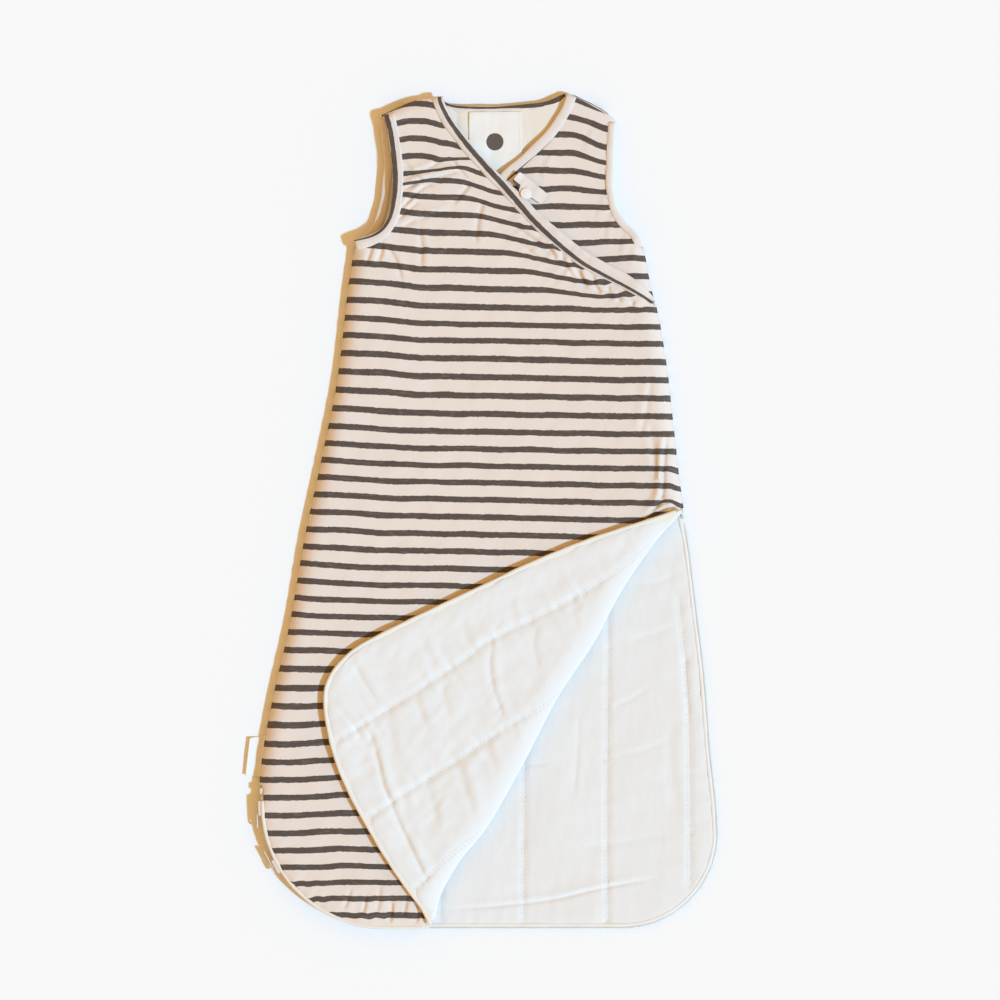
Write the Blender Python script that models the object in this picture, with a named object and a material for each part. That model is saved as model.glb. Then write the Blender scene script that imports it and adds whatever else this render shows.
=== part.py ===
"""A sleeveless quilted baby sleeping bag with a wrap front, laid flat on its back.

The head end is towards +Y and the front faces up, +Z. Lengths are in millimetres until they reach
Blender, which gets metres. Every cloth layer is a flat slab at its own height, cut to one shared pattern.
The lower right corner of the front is cut off along a fold line and turned over, as the zip lies open.
"""

import math

import bmesh
import bpy
from mathutils import Matrix, Vector

MM = 0.001

# Heights of the layers above the floor: (bottom, top).
GAP = 0.3
BACK_SHELL = (0.0, 0.7)
BACK_BATTING = (1.0, 2.5)
BACK_LINING = (2.8, 3.4)
UNDER_LINING = (9.8, 10.4)
UNDER_SHELL = (10.7, 11.3)
FRONT_LINING = (11.6, 12.2)
FRONT_BATTING = (12.5, 14.0)
FRONT_SHELL = (14.3, 15.0)
FOLD_HEIGHT = FRONT_SHELL[1] + GAP / 2
BACK_LEVELS = (BACK_SHELL[0], BACK_LINING[1])
UNDER_LEVELS = (UNDER_LINING[0], UNDER_SHELL[1])
FRONT_LEVELS = (FRONT_LINING[0], FRONT_SHELL[1] + GAP)

# The zip: each tape is sewn to the inner face of its lining, with its coil along the outer edge.
BACK_TAPE = (3.7, 4.2)
FRONT_TAPE = (10.8, 11.3)
BACK_COIL_HEIGHT = 4.5
FRONT_COIL_HEIGHT = 10.5
COIL_RADIUS = 1.0
TAPE_INSET = (2.3, 13.0)

# Widths of what runs along the edges, measured in from the outline.
SEAM_WIDTH = 5.7
PANEL_INSET = SEAM_WIDTH + GAP
BATTING_INSET = 9.0
ARM_BINDING = 8.0
NECK_BINDING = 9.0
BACK_NECK_BINDING = 6.0
WRAP_BINDING = (-4.5, 6.5)

# Posts that carry a binding round from the front to the back, seen from above: (low corner, high corner).
LEFT_ARM_POSTS = (((-90, 351), (-86.5, 356)), ((-117, 241), (-112, 245)))
RIGHT_ARM_POSTS = (((112, 345), (116, 350)), ((135, 246), (139, 248.5)))
LEFT_NECK_POST = ((-41.5, 369), (-37, 372.5))
RIGHT_NECK_POST = ((69.3, 371.5), (72.5, 375.5))
POST_FOOT = 1.0

# The outline: two round corners at the hem, and lines drawn through a few points.
HEM_LEFT_CENTRE = (-90.0, -266.0)
HEM_LEFT_RADIUS = 113.0
HEM_RIGHT_CENTRE = (125.0, -292.0)
HEM_RIGHT_RADIUS = 87.0
ZIP_START_Y = -250.0
STOP_LENGTH = 6.0
LEFT_SIDE = [
    (-118, 235), (-124, 191), (-132.5, 119), (-147, 46), (-162.5, -26),
    (-175, -99), (-190, -165), (-199, -212), (-202.5, -238), (-203, -250),
]
RIGHT_HEM_SIDE = [(212, -292), (210, -262), (205, -215), (200, -150), (193, -92), (186, -35), (180, -1)]
RIGHT_SIDE = [(180, -1), (174, 46), (166, 119), (158, 172), (150, 203), (145.5, 228), (143, 240.5)]
LEFT_SHOULDER = [(-48, 374), (-82, 363)]
RIGHT_SHOULDER = [(117, 354), (100, 367), (80.5, 376.5)]
BACK_NECK = [(-43, 374.5), (-28, 368), (0, 366.5), (28, 367.5), (54, 370.5), (73, 379)]
WRAP_EDGE = [
    (-41, 375), (-29, 349), (-8, 322), (21, 290), (47, 260), (82, 229), (112, 211), (136, 198),
]
UNDER_EDGE = [
    (69, 376.5), (65, 362), (56, 348), (41, 333), (14, 308), (-18, 272), (-50, 240), (-84, 215), (-114, 198),
]
LEFT_ARM_FRONT = [
    (-91, 357), (-86, 340), (-83, 312), (-82.5, 295), (-84, 279),
    (-87, 266), (-94, 256), (-104, 250), (-117, 247),
]
LEFT_ARM_BACK = [
    (-95, 357.5), (-91, 335), (-89, 315), (-91, 294), (-94, 276), (-98, 262), (-106, 251), (-118, 245),
]
RIGHT_ARM = [(118, 351), (117, 327), (116, 304), (117, 286), (120.5, 272), (128, 261), (137, 252), (142, 247)]
UNDER_PANEL_END_Y = 150.0

# The fold of the loose corner: the line that the front turns over on.
FOLD_TOP = Vector((179.7, -0.9))
FOLD_BOTTOM = Vector((-48.3, -377.0))
FOLD_ALONG = (FOLD_TOP - FOLD_BOTTOM).normalized()
FOLD_OUT = Vector((FOLD_ALONG.y, -FOLD_ALONG.x))
FOLD_MARGIN = 0.4

# Zip sliders on the left corner's arc: (bearing of the slider from the arc's centre, side its pull points).
SLIDER_LENGTH = 13.0
UPPER_SLIDER = (181.5, 1)
LOWER_SLIDER = (209.5, -1)
PULL_PIVOT_OUT = 3.9
PULL_LENGTH = 18.5

# Snap tab: sewn at one end, with the snap's cap on an ear at its side.
TAB_SEWN_END = Vector((28.2, 302.5))
TAB_FREE_END = Vector((54.2, 282.0))
TAB_WIDTH = 11.0
TAB_LEVELS = (15.6, 16.4)
SNAP_ALONG = 17.0
SNAP_ASIDE = -6.4
SNAP_HOLE = 1.1
SNAP_SIDES = 20

NECK_LABEL = ((-14, 303), (34, 358))
NECK_LABEL_LEVELS = (BACK_LINING[1] + GAP, BACK_LINING[1] + GAP + 0.4)
LABEL_SIDE = [(-199.6, -204.0), (-204.0, -241.5)]
LABEL_OUT = 8.0
LABEL_LEVELS = (0.3, 1.5)

# Finishes: (colour, roughness, metallic).
STRIPED_COTTON = ((0.62, 0.55, 0.5), 0.9, 0.0)
MUSLIN = ((0.81, 0.81, 0.8), 0.92, 0.0)
BATTING = ((0.86, 0.86, 0.84), 0.95, 0.0)
CREAM_COTTON = ((0.74, 0.66, 0.58), 0.9, 0.0)
CREAM_TAPE = ((0.76, 0.69, 0.6), 0.85, 0.0)
CREAM_NYLON = ((0.78, 0.72, 0.64), 0.5, 0.0)
CREAM_METAL = ((0.8, 0.75, 0.68), 0.4, 0.2)
WHITE_PLASTIC = ((0.85, 0.84, 0.82), 0.3, 0.0)


def smooth(points, steps=3):
    """A smooth line through the points, with a few steps to each span (Catmull-Rom)."""
    knots = [Vector(point) for point in points]
    ends = [2 * knots[0] - knots[1]] + knots + [2 * knots[-1] - knots[-2]]
    line = []
    for before, start, end, after in zip(ends, ends[1:], ends[2:], ends[3:]):
        for step in range(steps):
            t = step / steps
            bend = 2 * before - 5 * start + 4 * end - after
            twist = 3 * start - before - 3 * end + after
            line.append(0.5 * (2 * start + (end - before) * t + bend * t**2 + twist * t**3))
    return line + [knots[-1]]


def arc(centre, radius, start, end, step=5.0):
    """Points round a centre from one bearing to another, in degrees."""
    count = max(1, round(abs(end - start) / step))
    bearings = [math.radians(start + (end - start) * i / count) for i in range(count + 1)]
    return [Vector(centre) + radius * Vector((math.cos(b), math.sin(b))) for b in bearings]


def beside(line, distance):
    """The line moved sideways, to the left of the way it runs where distance is positive."""
    moved = []
    for i, point in enumerate(line):
        along = (line[min(i + 1, len(line) - 1)] - line[max(i - 1, 0)]).normalized()
        moved.append(point + distance * Vector((-along.y, along.x)))
    return moved


def strip(line, near, far):
    """The outline of a band between two distances to the left of a line."""
    return beside(line, near) + beside(line, far)[::-1]


def hem_left(inset):
    """The hem from the start of the zip, round the left corner, to the fold line."""
    start = Vector((HEM_LEFT_CENTRE[0] - HEM_LEFT_RADIUS + inset, ZIP_START_Y))
    corner = arc(HEM_LEFT_CENTRE, HEM_LEFT_RADIUS - inset, 180, 270)
    bottom = Vector((FOLD_BOTTOM.x, HEM_LEFT_CENTRE[1] - HEM_LEFT_RADIUS + inset))
    return [start] + corner + [bottom]


def hem_right(inset):
    """The hem from the fold line, round the right corner and up to the end of the zip."""
    corner = arc(HEM_RIGHT_CENTRE, HEM_RIGHT_RADIUS - inset, 270, 360, 7.5)
    side = beside(smooth(RIGHT_HEM_SIDE), inset)
    bottom = Vector((FOLD_BOTTOM.x, HEM_RIGHT_CENTRE[1] - HEM_RIGHT_RADIUS + inset))
    return [bottom] + corner + side[1:]


def hem(inset):
    """The whole hem, from the left end of the zip to its right end."""
    return hem_left(inset) + hem_right(inset)[1:]


def past_fold(point):
    """How far a point lies beyond the fold line, towards the lower right corner."""
    return (point - FOLD_TOP).dot(FOLD_OUT)


def cut_at_fold(outline, beyond):
    """The part of an outline on one side of the fold line, a little short of it."""
    sign = 1 if beyond else -1
    kept = []
    for point, following in zip(outline, outline[1:] + outline[:1]):
        here = sign * past_fold(point) - FOLD_MARGIN
        there = sign * past_fold(following) - FOLD_MARGIN
        if here >= 0:
            kept.append(point)
        if here * there < 0:
            kept.append(point.lerp(following, here / (here - there)))
    return kept


def folded_over(line):
    """Points mirrored across the fold line."""
    return [point - 2 * past_fold(point) * FOLD_OUT for point in line]


def turned_up(levels):
    """The heights of a layer of the front once it is folded over."""
    return 2 * FOLD_HEIGHT - levels[1], 2 * FOLD_HEIGHT - levels[0]


def clear_scene():
    for thing in list(bpy.data.objects):
        bpy.data.objects.remove(thing)


def finish(thing, look):
    """Gives an object its own material."""
    colour, roughness, metallic = look
    material = bpy.data.materials.new(thing.name)
    material.use_nodes = True
    shader = material.node_tree.nodes["Principled BSDF"]
    shader.inputs["Base Color"].default_value = (*colour, 1.0)
    shader.inputs["Roughness"].default_value = roughness
    shader.inputs["Metallic"].default_value = metallic
    thing.data.materials.append(material)
    return thing


def new_object(name, mesh_maker, look):
    """A mesh object from a bmesh."""
    mesh = bpy.data.meshes.new(name)
    bmesh.ops.recalc_face_normals(mesh_maker, faces=mesh_maker.faces)
    mesh_maker.to_mesh(mesh)
    mesh_maker.free()
    thing = bpy.data.objects.new(name, mesh)
    bpy.context.scene.collection.objects.link(thing)
    return finish(thing, look)


def slab(name, outline, levels, look, holes=()):
    """A flat layer: an outline, with holes if it has any, filled and extruded upwards."""
    maker = bmesh.new()
    edges = []
    for loop in (outline, *holes):
        corners = [maker.verts.new((x * MM, y * MM, levels[0] * MM)) for x, y in loop]
        edges += [maker.edges.new(pair) for pair in zip(corners, corners[1:] + corners[:1])]
    bmesh.ops.triangle_fill(maker, edges=edges, use_beauty=True, normal=(0, 0, 1))
    raised = bmesh.ops.extrude_face_region(maker, geom=maker.faces[:])["geom"]
    lifted = [part for part in raised if isinstance(part, bmesh.types.BMVert)]
    bmesh.ops.translate(maker, verts=lifted, vec=(0, 0, (levels[1] - levels[0]) * MM))
    return new_object(name, maker, look)


def turned(name, profile, look, centre):
    """A turned piece: rings of (radius, height), closed at both ends."""
    maker = bmesh.new()
    rings = []
    for radius, height in profile:
        bearings = [2 * math.pi * i / SNAP_SIDES for i in range(SNAP_SIDES)]
        ring = [(radius * MM * math.cos(b), radius * MM * math.sin(b), height * MM) for b in bearings]
        rings.append([maker.verts.new(point) for point in ring])
    for lower, upper in zip(rings, rings[1:]):
        for i in range(SNAP_SIDES):
            j = (i + 1) % SNAP_SIDES
            maker.faces.new((lower[i], lower[j], upper[j], upper[i]))
    maker.faces.new(rings[0])
    maker.faces.new(rings[-1])
    bmesh.ops.translate(maker, verts=maker.verts, vec=(centre.x * MM, centre.y * MM, 0))
    thing = new_object(name, maker, look)
    thing.data.shade_smooth()
    thing.data.set_sharp_from_angle(angle=math.radians(35))
    return thing


def rod(name, line, height, look):
    """A thin round rod along a line at one height, such as a zip's coil."""
    curve = bpy.data.curves.new(name, "CURVE")
    curve.dimensions = "3D"
    curve.bevel_depth = COIL_RADIUS * MM
    curve.bevel_resolution = 1
    curve.use_fill_caps = True
    spline = curve.splines.new("POLY")
    spline.points.add(len(line) - 1)
    for point, (x, y) in zip(spline.points, line):
        point.co = (x * MM, y * MM, height * MM, 1.0)
    thing = bpy.data.objects.new(name, curve)
    bpy.context.scene.collection.objects.link(thing)
    return finish(thing, look)


def unite(thing, *others):
    """Joins the other shapes to an object and hides them."""
    for other in others:
        joint = thing.modifiers.new("join_" + other.name, "BOOLEAN")
        joint.operation = "UNION"
        joint.object = other
        other.hide_render = True
        other.display_type = "WIRE"
    return thing


def hang_from(thing, point):
    """Puts an object's origin on the axis that it turns about, without moving its shape."""
    place = Vector(point) * MM
    thing.data.transform(Matrix.Translation(-place))
    thing.location = place
    return thing


def back_outline(inset):
    """The back panel's pattern, inside its seams and bindings."""
    margin = inset - SEAM_WIDTH
    left = beside(smooth(LEFT_SIDE), inset)
    right = beside(smooth(RIGHT_SIDE), inset)
    right_arm = beside(smooth(RIGHT_ARM), -ARM_BINDING - margin)[::-1]
    right_shoulder = beside(smooth(RIGHT_SHOULDER), inset)
    neck = beside(smooth(BACK_NECK), -BACK_NECK_BINDING - margin)[::-1]
    left_shoulder = beside(smooth(LEFT_SHOULDER), inset)
    left_arm = beside(smooth(LEFT_ARM_BACK), ARM_BINDING + margin)
    right_half = hem(inset)[1:-1] + right[1:-1] + right_arm[2:-1] + right_shoulder[1:-1]
    return left[1:-1] + right_half + neck[1:-1] + left_shoulder[:-1] + left_arm[1:-2]


def front_outline(inset):
    """The front panel's pattern before its corner is folded: the left front, out to the wrap edge."""
    margin = inset - SEAM_WIDTH
    left = beside(smooth(LEFT_SIDE), inset)
    side_top = WRAP_EDGE[-1][1] - 3 * margin - PANEL_INSET
    right = [p for p in beside(smooth(RIGHT_SIDE), inset) if p.y < side_top]
    wrap = beside(smooth(WRAP_EDGE), WRAP_BINDING[0] - margin)[::-1]
    shoulder = beside(smooth(LEFT_SHOULDER), inset)
    arm = beside(smooth(LEFT_ARM_FRONT), ARM_BINDING + margin)
    return left[1:-1] + hem(inset)[1:-1] + right[1:] + wrap[1:-2] + shoulder[:-1] + arm[1:-2]


def under_outline(inset):
    """The right front, which passes under the wrap to the left side seam."""
    left = [p for p in beside(smooth(LEFT_SIDE), inset) if UNDER_PANEL_END_Y < p.y < 185]
    right = [p for p in beside(smooth(RIGHT_SIDE), inset) if p.y > UNDER_PANEL_END_Y]
    arm = beside(smooth(RIGHT_ARM), -ARM_BINDING - GAP)[::-1]
    shoulder = beside(smooth(RIGHT_SHOULDER), inset)
    edge = beside(smooth(UNDER_EDGE), NECK_BINDING + GAP)
    return left + right[:-1] + arm[2:-1] + shoulder[1:-1] + edge[2:-1]


def make_back():
    slab("back_shell", back_outline(PANEL_INSET), BACK_SHELL, STRIPED_COTTON)
    slab("back_batting", back_outline(BATTING_INSET), BACK_BATTING, BATTING)
    slab("back_lining", back_outline(PANEL_INSET), BACK_LINING, MUSLIN)


def make_front():
    """The front, cut along the fold line, and its loose corner turned over on top of it."""
    layers = (
        ("shell", PANEL_INSET, FRONT_SHELL, STRIPED_COTTON),
        ("batting", BATTING_INSET, FRONT_BATTING, BATTING),
        ("lining", PANEL_INSET, FRONT_LINING, MUSLIN),
    )
    for layer, inset, levels, look in layers:
        outline = front_outline(inset)
        slab("front_" + layer, cut_at_fold(outline, beyond=False), levels, look)
        corner = folded_over(cut_at_fold(outline, beyond=True))
        hang_from(slab("flap_" + layer, corner, turned_up(levels), look), (*FOLD_TOP, FOLD_HEIGHT))


def make_under_panel(snap):
    for layer, levels, look in (("shell", UNDER_SHELL, STRIPED_COTTON), ("lining", UNDER_LINING, MUSLIN)):
        hole = arc(snap, SNAP_HOLE, 0, 315, 45)
        slab("under_panel_" + layer, under_outline(PANEL_INSET), levels, look, [hole])


def quad(low, high):
    """A rectangle between two corners."""
    return [Vector(low), Vector((high[0], low[1])), Vector(high), Vector((low[0], high[1]))]


def make_neckline_binding():
    """One strip: up the wrap edge, round the back of the neck and down the edge of the right front."""
    wrap = slab("neckline_binding", strip(smooth(WRAP_EDGE), *WRAP_BINDING), FRONT_LEVELS, CREAM_COTTON)
    back = slab("neckline_back", strip(smooth(BACK_NECK), 0, -BACK_NECK_BINDING), BACK_LEVELS, CREAM_COTTON)
    under = slab("neckline_under", strip(smooth(UNDER_EDGE), 0, NECK_BINDING), UNDER_LEVELS, CREAM_COTTON)
    left = slab("neckline_left", quad(*LEFT_NECK_POST), (POST_FOOT, FRONT_SHELL[0]), CREAM_COTTON)
    right = slab("neckline_right", quad(*RIGHT_NECK_POST), (POST_FOOT, UNDER_SHELL[0]), CREAM_COTTON)
    unite(wrap, left, back, right, under)


def make_armhole_bindings():
    """Each armhole is edged by one closed loop, with a strand on the front and one on the back."""
    sides = (
        ("left", LEFT_ARM_FRONT, LEFT_ARM_BACK, ARM_BINDING, FRONT_LEVELS, LEFT_ARM_POSTS),
        ("right", RIGHT_ARM, RIGHT_ARM, -ARM_BINDING, UNDER_LEVELS, RIGHT_ARM_POSTS),
    )
    for side, front_line, back_line, width, levels, corners in sides:
        front = slab(side + "_armhole_binding", strip(smooth(front_line), 0, width), levels, CREAM_COTTON)
        back = slab(side + "_arm_back", strip(smooth(back_line), 0, width), BACK_LEVELS, CREAM_COTTON)
        heights = (POST_FOOT, levels[1] - 2 * GAP)
        top = slab(side + "_arm_top", quad(*corners[0]), heights, CREAM_COTTON)
        bottom = slab(side + "_arm_bottom", quad(*corners[1]), heights, CREAM_COTTON)
        unite(front, top, back, bottom)


def make_seams():
    """Turned-in seam allowances that join the front to the back."""
    left = smooth(LEFT_SIDE)[:-1]
    right = smooth(RIGHT_SIDE)[1:]
    slab("left_side_seam", strip(left, 0, SEAM_WIDTH), (0.0, FRONT_SHELL[1]), STRIPED_COTTON)
    slab("right_side_seam", strip(right, 0, SEAM_WIDTH), (0.0, FRONT_SHELL[1]), STRIPED_COTTON)
    left_top = smooth(LEFT_SHOULDER)
    right_top = smooth(RIGHT_SHOULDER)[1:]
    slab("left_shoulder_seam", strip(left_top, 0, SEAM_WIDTH), (0.0, FRONT_SHELL[1]), STRIPED_COTTON)
    slab("right_shoulder_seam", strip(right_top, 0, SEAM_WIDTH), (0.0, UNDER_SHELL[1]), STRIPED_COTTON)


def clear_of_fold(line):
    """A coil's centre line, without the points that lie too near the fold."""
    return [p for p in line if abs(past_fold(p)) > 2 * COIL_RADIUS]


def left_coil():
    """The coil's centre line round the left corner, from just below the left stop."""
    start, *rest = clear_of_fold(hem_left(COIL_RADIUS))
    return [Vector((start.x, ZIP_START_Y - STOP_LENGTH - GAP))] + rest


def zip_top(distance):
    """A point on the back coil's line, this far short of its right end."""
    below, top = hem_right(COIL_RADIUS)[-2:]
    return top + distance * (below - top).normalized()


def make_zip():
    """Two tapes with a coil along each, cut at the fold, and the stops at both ends."""
    back_tape = hem(TAPE_INSET[0])[:-1] + hem(TAPE_INSET[1])[-2::-1]
    slab("zip_tape_back", back_tape, BACK_TAPE, CREAM_TAPE)
    back_coil = left_coil() + hem_right(COIL_RADIUS)[1:-1] + [zip_top(STOP_LENGTH + GAP)]
    rod("zip_coil_back", back_coil, BACK_COIL_HEIGHT, CREAM_NYLON)
    front_tape = cut_at_fold(hem_left(TAPE_INSET[0]) + hem_left(TAPE_INSET[1])[::-1], beyond=False)
    slab("zip_tape_front", front_tape, FRONT_TAPE, CREAM_TAPE)
    rod("zip_coil_front", left_coil(), FRONT_COIL_HEIGHT, CREAM_NYLON)
    flap_tape = cut_at_fold(hem_right(TAPE_INSET[0])[:-1] + hem_right(TAPE_INSET[1])[-2::-1], beyond=True)
    flap = [slab("zip_tape_flap", folded_over(flap_tape), turned_up(FRONT_TAPE), CREAM_TAPE)]
    flap_coil = folded_over(clear_of_fold(hem_right(COIL_RADIUS)[:-1]))
    flap.append(rod("zip_coil_flap", flap_coil, 2 * FOLD_HEIGHT - FRONT_COIL_HEIGHT, CREAM_NYLON))
    for piece in flap:
        hang_from(piece, (*FOLD_TOP, FOLD_HEIGHT))


def make_slider(name, bearing):
    """A slider that holds both coils: two plates, the web between them, and a bow for the pull."""
    radius = HEM_LEFT_RADIUS - COIL_RADIUS
    low, high = BACK_COIL_HEIGHT, FRONT_COIL_HEIGHT
    section = [
        (2.6, low - 2.1), (2.6, high + 2.1), (-1.4, high + 2.1), (-1.4, high + 1.3), (1.4, high + 1.3),
        (1.4, high - 1.7), (-3.2, high - 1.7), (-3.2, high - 0.5), (-4.2, high - 0.5), (-4.2, low + 0.5),
        (-3.2, low + 0.5), (-3.2, low + 1.7), (1.4, low + 1.7), (1.4, low - 1.3), (-1.4, low - 1.3),
        (-1.4, low - 2.1),
    ]
    half = math.degrees(SLIDER_LENGTH / 2 / radius)
    maker = bmesh.new()
    rings = []
    for step in (-1.0, -0.5, 0.0, 0.5, 1.0):
        b = math.radians(step * half)
        ring = [((radius + r) * math.cos(b), (radius + r) * math.sin(b), z) for r, z in section]
        rings.append([maker.verts.new(Vector(point) * MM) for point in ring])
    for near, far in zip(rings, rings[1:]):
        for i in range(len(section)):
            j = (i + 1) % len(section)
            maker.faces.new((near[i], near[j], far[j], far[i]))
    maker.faces.new(rings[0])
    maker.faces.new(rings[-1])
    body = new_object(name, maker, CREAM_METAL)
    middle = (low + high) / 2
    bow = slab(name + "_bow", bow_outline(radius), (middle - 1.1, middle + 1.1), CREAM_METAL)
    unite(body, bow)
    for piece in (body, bow):
        piece.location = (HEM_LEFT_CENTRE[0] * MM, HEM_LEFT_CENTRE[1] * MM, 0)
        piece.rotation_euler = (0, 0, math.radians(bearing))


def bow_outline(radius):
    """The bow over a slider's outer plate, seen from above: a bridge with two feet."""
    foot, inside, outside = radius + 2.0, radius + 5.2, radius + 6.2
    return [
        Vector(point)
        for point in (
            (foot, -4.2), (outside, -4.2), (outside, 4.2), (foot, 4.2),
            (foot, 3.2), (inside, 3.2), (inside, -3.2), (foot, -3.2),
        )
    ]


def make_pull(name, bearing, hand):
    """A pull: a flat plate stood on edge, with a window round the bow and a small ring hole."""
    round_end = arc((PULL_LENGTH - 2.5, 0), 2.5, -90, 90, 22.5)
    shoulders = [Vector(point) for point in ((-0.7, 3.0), (-0.7, -3.0), (9.0, -3.0))]
    outline = shoulders + round_end + [Vector((9.0, 3.0))]
    window = quad((0.7, -1.7), (5.6, 1.7))
    ring = arc((PULL_LENGTH - 3.2, 0), 1.2, 0, 330, 30)
    pull = slab(name, outline, (-0.5, 0.5), CREAM_METAL, [window, ring])
    pull.data.transform(Matrix.Rotation(math.radians(90), 4, "X"))
    pivot = HEM_LEFT_RADIUS - COIL_RADIUS + PULL_PIVOT_OUT
    b = math.radians(bearing)
    x = HEM_LEFT_CENTRE[0] + pivot * math.cos(b)
    y = HEM_LEFT_CENTRE[1] + pivot * math.sin(b)
    pull.location = Vector((x, y, (BACK_COIL_HEIGHT + FRONT_COIL_HEIGHT) / 2)) * MM
    pull.rotation_euler = (0, 0, b + hand * math.pi / 2)


def make_stops():
    """A clip over both coils at the zip's left end, and one on the back coil at its right end."""
    left = HEM_LEFT_CENTRE[0] - HEM_LEFT_RADIUS
    clip = quad((left - 0.2, ZIP_START_Y - STOP_LENGTH), (left + 2.0, ZIP_START_Y - 1.0))
    slab("zip_end_stop", clip, (BACK_COIL_HEIGHT - 1.5, FRONT_COIL_HEIGHT + 1.5), CREAM_METAL)
    top = strip([zip_top(1.0), zip_top(STOP_LENGTH)], -COIL_RADIUS, COIL_RADIUS)
    slab("zip_top_stop", top, (BACK_COIL_HEIGHT - 1.5, BACK_COIL_HEIGHT + 1.5), CREAM_METAL)


def make_snap_tab(snap, along, aside):
    """The tab with its ear, and the snap: cap and socket on the tab, stud and backing on the panel."""
    half = TAB_WIDTH / 2
    length = (TAB_FREE_END - TAB_SEWN_END).length
    ear = SNAP_ASIDE, 5.0
    reach = math.sqrt(ear[1] ** 2 - (ear[0] + half) ** 2)
    lean = math.degrees(math.asin((-half - ear[0]) / ear[1]))
    flat = [
        *arc((half, 0), half, 90, 270, 22.5),
        Vector((SNAP_ALONG - reach, -half)),
        *arc((SNAP_ALONG, ear[0]), ear[1], 180 - lean, 360 + lean, 20)[1:-1],
        Vector((SNAP_ALONG + reach, -half)),
        Vector((length, -half)),
        Vector((length, half)),
    ]
    outline = [TAB_SEWN_END + p.x * along + p.y * aside for p in flat]
    hole = arc(snap, SNAP_HOLE, 0, 315, 45)
    top = TAB_LEVELS[1]
    under = TAB_LEVELS[0] - GAP
    cap = [(0.7, TAB_LEVELS[0]), (0.7, top + GAP), (5.1, top + GAP), (5.1, top + 0.7), (4.4, top + 1.1)]
    cap.append((2.4, top + 1.4))
    socket = [(1.9, under - 0.4), (1.9, under - 1.4), (3.5, under - 1.4), (3.5, under)]
    stud_foot = UNDER_SHELL[1] + GAP
    stud = [(3.2, stud_foot), (3.2, stud_foot + 0.6), (1.5, stud_foot + 0.8), (1.5, under - 0.7)]
    backing_top = UNDER_LINING[0] - GAP
    backing = [(4.0, backing_top - 0.9), (4.0, backing_top), (0.7, backing_top), (0.7, UNDER_SHELL[1])]
    moving = [
        slab("snap_tab", outline, TAB_LEVELS, CREAM_COTTON, [hole]),
        turned("snap_cap", cap, WHITE_PLASTIC, snap),
        turned("snap_socket", socket, WHITE_PLASTIC, snap),
    ]
    for piece in moving:
        hang_from(piece, (*TAB_SEWN_END, TAB_LEVELS[0]))
    turned("snap_stud", stud, WHITE_PLASTIC, snap)
    turned("snap_backing", backing, WHITE_PLASTIC, snap)


def make_labels():
    slab("neck_label", quad(*NECK_LABEL), NECK_LABEL_LEVELS, CREAM_COTTON)
    side = [Vector(point) for point in LABEL_SIDE]
    label = slab("side_label", strip(side, 0.0, -LABEL_OUT), LABEL_LEVELS, CREAM_COTTON)
    hang_from(label, (*side[0], sum(LABEL_LEVELS) / 2))


def main():
    clear_scene()
    along = (TAB_FREE_END - TAB_SEWN_END).normalized()
    aside = Vector((-along.y, along.x))
    snap = TAB_SEWN_END + SNAP_ALONG * along + SNAP_ASIDE * aside
    make_back()
    make_front()
    make_under_panel(snap)
    make_neckline_binding()
    make_armhole_bindings()
    make_seams()
    make_zip()
    make_stops()
    for side, (bearing, hand) in (("upper", UPPER_SLIDER), ("lower", LOWER_SLIDER)):
        make_slider(side + "_slider", bearing)
        make_pull(side + "_pull", bearing, hand)
    make_snap_tab(snap, along, aside)
    make_labels()


main()
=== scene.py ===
"""Looks for a quilted baby sleeping bag with a wrap front, laid flat with its lower corner turned up.

Lengths are in millimetres until they reach Blender, which gets metres. The head end is towards +Y.
Each cloth is a fine mesh inside its own outline, raised by a height function that holds its loft,
creases and puckers. The printed stripes follow the cloth through a print attribute.
"""

import math

import bmesh
import bpy
import numpy as np
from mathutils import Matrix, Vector
from mathutils.geometry import delaunay_2d_cdt

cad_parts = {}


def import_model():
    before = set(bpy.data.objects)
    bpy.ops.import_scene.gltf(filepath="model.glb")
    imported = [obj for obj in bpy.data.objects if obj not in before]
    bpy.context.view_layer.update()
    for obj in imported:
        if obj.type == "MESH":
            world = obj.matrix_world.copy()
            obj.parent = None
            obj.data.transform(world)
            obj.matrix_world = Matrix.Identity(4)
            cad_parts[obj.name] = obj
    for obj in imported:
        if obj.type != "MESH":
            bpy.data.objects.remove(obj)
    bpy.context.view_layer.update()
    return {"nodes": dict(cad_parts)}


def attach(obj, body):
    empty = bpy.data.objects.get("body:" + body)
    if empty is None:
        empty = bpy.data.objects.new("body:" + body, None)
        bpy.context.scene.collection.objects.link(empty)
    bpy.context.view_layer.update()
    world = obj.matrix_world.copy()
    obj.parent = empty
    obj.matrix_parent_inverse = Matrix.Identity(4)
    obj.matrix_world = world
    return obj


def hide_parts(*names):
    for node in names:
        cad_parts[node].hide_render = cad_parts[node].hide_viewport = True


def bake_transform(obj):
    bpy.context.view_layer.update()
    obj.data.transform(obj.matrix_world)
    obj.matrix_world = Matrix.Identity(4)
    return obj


MM = 0.001

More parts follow.
